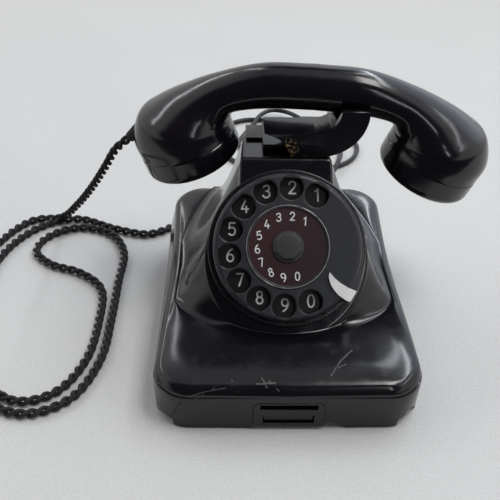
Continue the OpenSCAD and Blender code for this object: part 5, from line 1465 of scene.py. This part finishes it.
class TELEPHONE_OT_stage(Operator):
    """Spreads the pale cloth floor, and hangs the soft lamps"""

    bl_idname = "telephone.stage"
    bl_label = "Floor and light"

    def execute(self, context):
        colour = context.scene.telephone_colours.floor
        w, front = FLOOR_REACH, FLOOR_FRONT
        corners = [(-w, front, 0), (w, front, 0), (w, w, 0), (-w, w, 0)]
        floor = Skin(np.eye(4)).faces(corners, [(0, 1, 2, 3)]).make("floor")
        finish_on(pale_cloth(colour), floor)
        context.scene.world = studio(colour)
        for lamp in LAMPS:
            hang_lamp(*lamp)
        context.scene.view_settings.view_transform = "Standard"
        return {"FINISHED"}


# ------------------------------------------------------------------ settings and panel

def length_property(name, description, default, low, high):
    """A length in metres between a low and a high one."""
    return FloatProperty(name=name, description=description, default=default, min=low, max=high,
                         unit="LENGTH")


def colour_property(name, description, default):
    """A colour of three parts from 0 to 1."""
    return FloatVectorProperty(name=name, description=description, default=default, size=3, min=0, max=1,
                               subtype="COLOR")


class TelephoneSizes(PropertyGroup):
    """Sizes of the dressed parts that may be changed"""

    handset_cord: length_property("Handset cord", "Thickness of the handset cord", 0.006, 0.004, 0.008)
    cord_twist: length_property("Cord twist", "Length of a full turn of its strands", 0.014, 0.008, 0.03)
    line_cord: length_property("Line cord", "Thickness of the line cord", 0.004, 0.003, 0.006)


class TelephoneColours(PropertyGroup):
    """Colours of the finishes that may be changed"""

    resin: colour_property("Resin", "Colour of the case, cradle and handset", (0.0042, 0.0039, 0.0061))
    wheel: colour_property("Wheel", "Colour of the finger wheel", (0.018, 0.019, 0.022))
    card: colour_property("Card", "Colour of the card in the wheel", (0.02, 0.0072, 0.0098))
    digits: colour_property("Digits", "Colour of the printed digits", (0.72, 0.73, 0.72))
    cord: colour_property("Cord", "Colour of the cords", (0.013, 0.013, 0.0145))
    rubber: colour_property("Rubber", "Colour of the feet and glands", (0.018, 0.018, 0.018))
    floor: colour_property("Floor", "Colour of the floor", (0.66, 0.66, 0.65))


STEPS = (TELEPHONE_OT_camera, TELEPHONE_OT_cords, TELEPHONE_OT_case, TELEPHONE_OT_base,
         TELEPHONE_OT_key, TELEPHONE_OT_dial, TELEPHONE_OT_wheel, TELEPHONE_OT_cradle,
         TELEPHONE_OT_works, TELEPHONE_OT_handset, TELEPHONE_OT_stage)


class TELEPHONE_PT_panel(Panel):
    """Lists the sizes, the colours and the steps"""

    bl_label = "Desk telephone"
    bl_space_type = "VIEW_3D"
    bl_region_type = "UI"
    bl_category = "Telephone"

    def draw(self, context):
        for group in (context.scene.telephone_sizes, context.scene.telephone_colours):
            for name in group.__annotations__:
                self.layout.prop(group, name)
        for step in STEPS:
            self.layout.operator(step.bl_idname)


CLASSES = (TelephoneSizes, TelephoneColours, *STEPS, TELEPHONE_PT_panel)


def register():
    for c in CLASSES:
        bpy.utils.register_class(c)
    bpy.types.Scene.telephone_sizes = PointerProperty(type=TelephoneSizes)
    bpy.types.Scene.telephone_colours = PointerProperty(type=TelephoneColours)


def unregister():
    del bpy.types.Scene.telephone_colours, bpy.types.Scene.telephone_sizes
    for c in reversed(CLASSES):
        bpy.utils.unregister_class(c)


def main():
    """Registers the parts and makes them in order."""
    register()
    for step in STEPS:
        group, name = step.bl_idname.split(".")
        getattr(getattr(bpy.ops, group), name)()


if __name__ == "__main__":
    main()
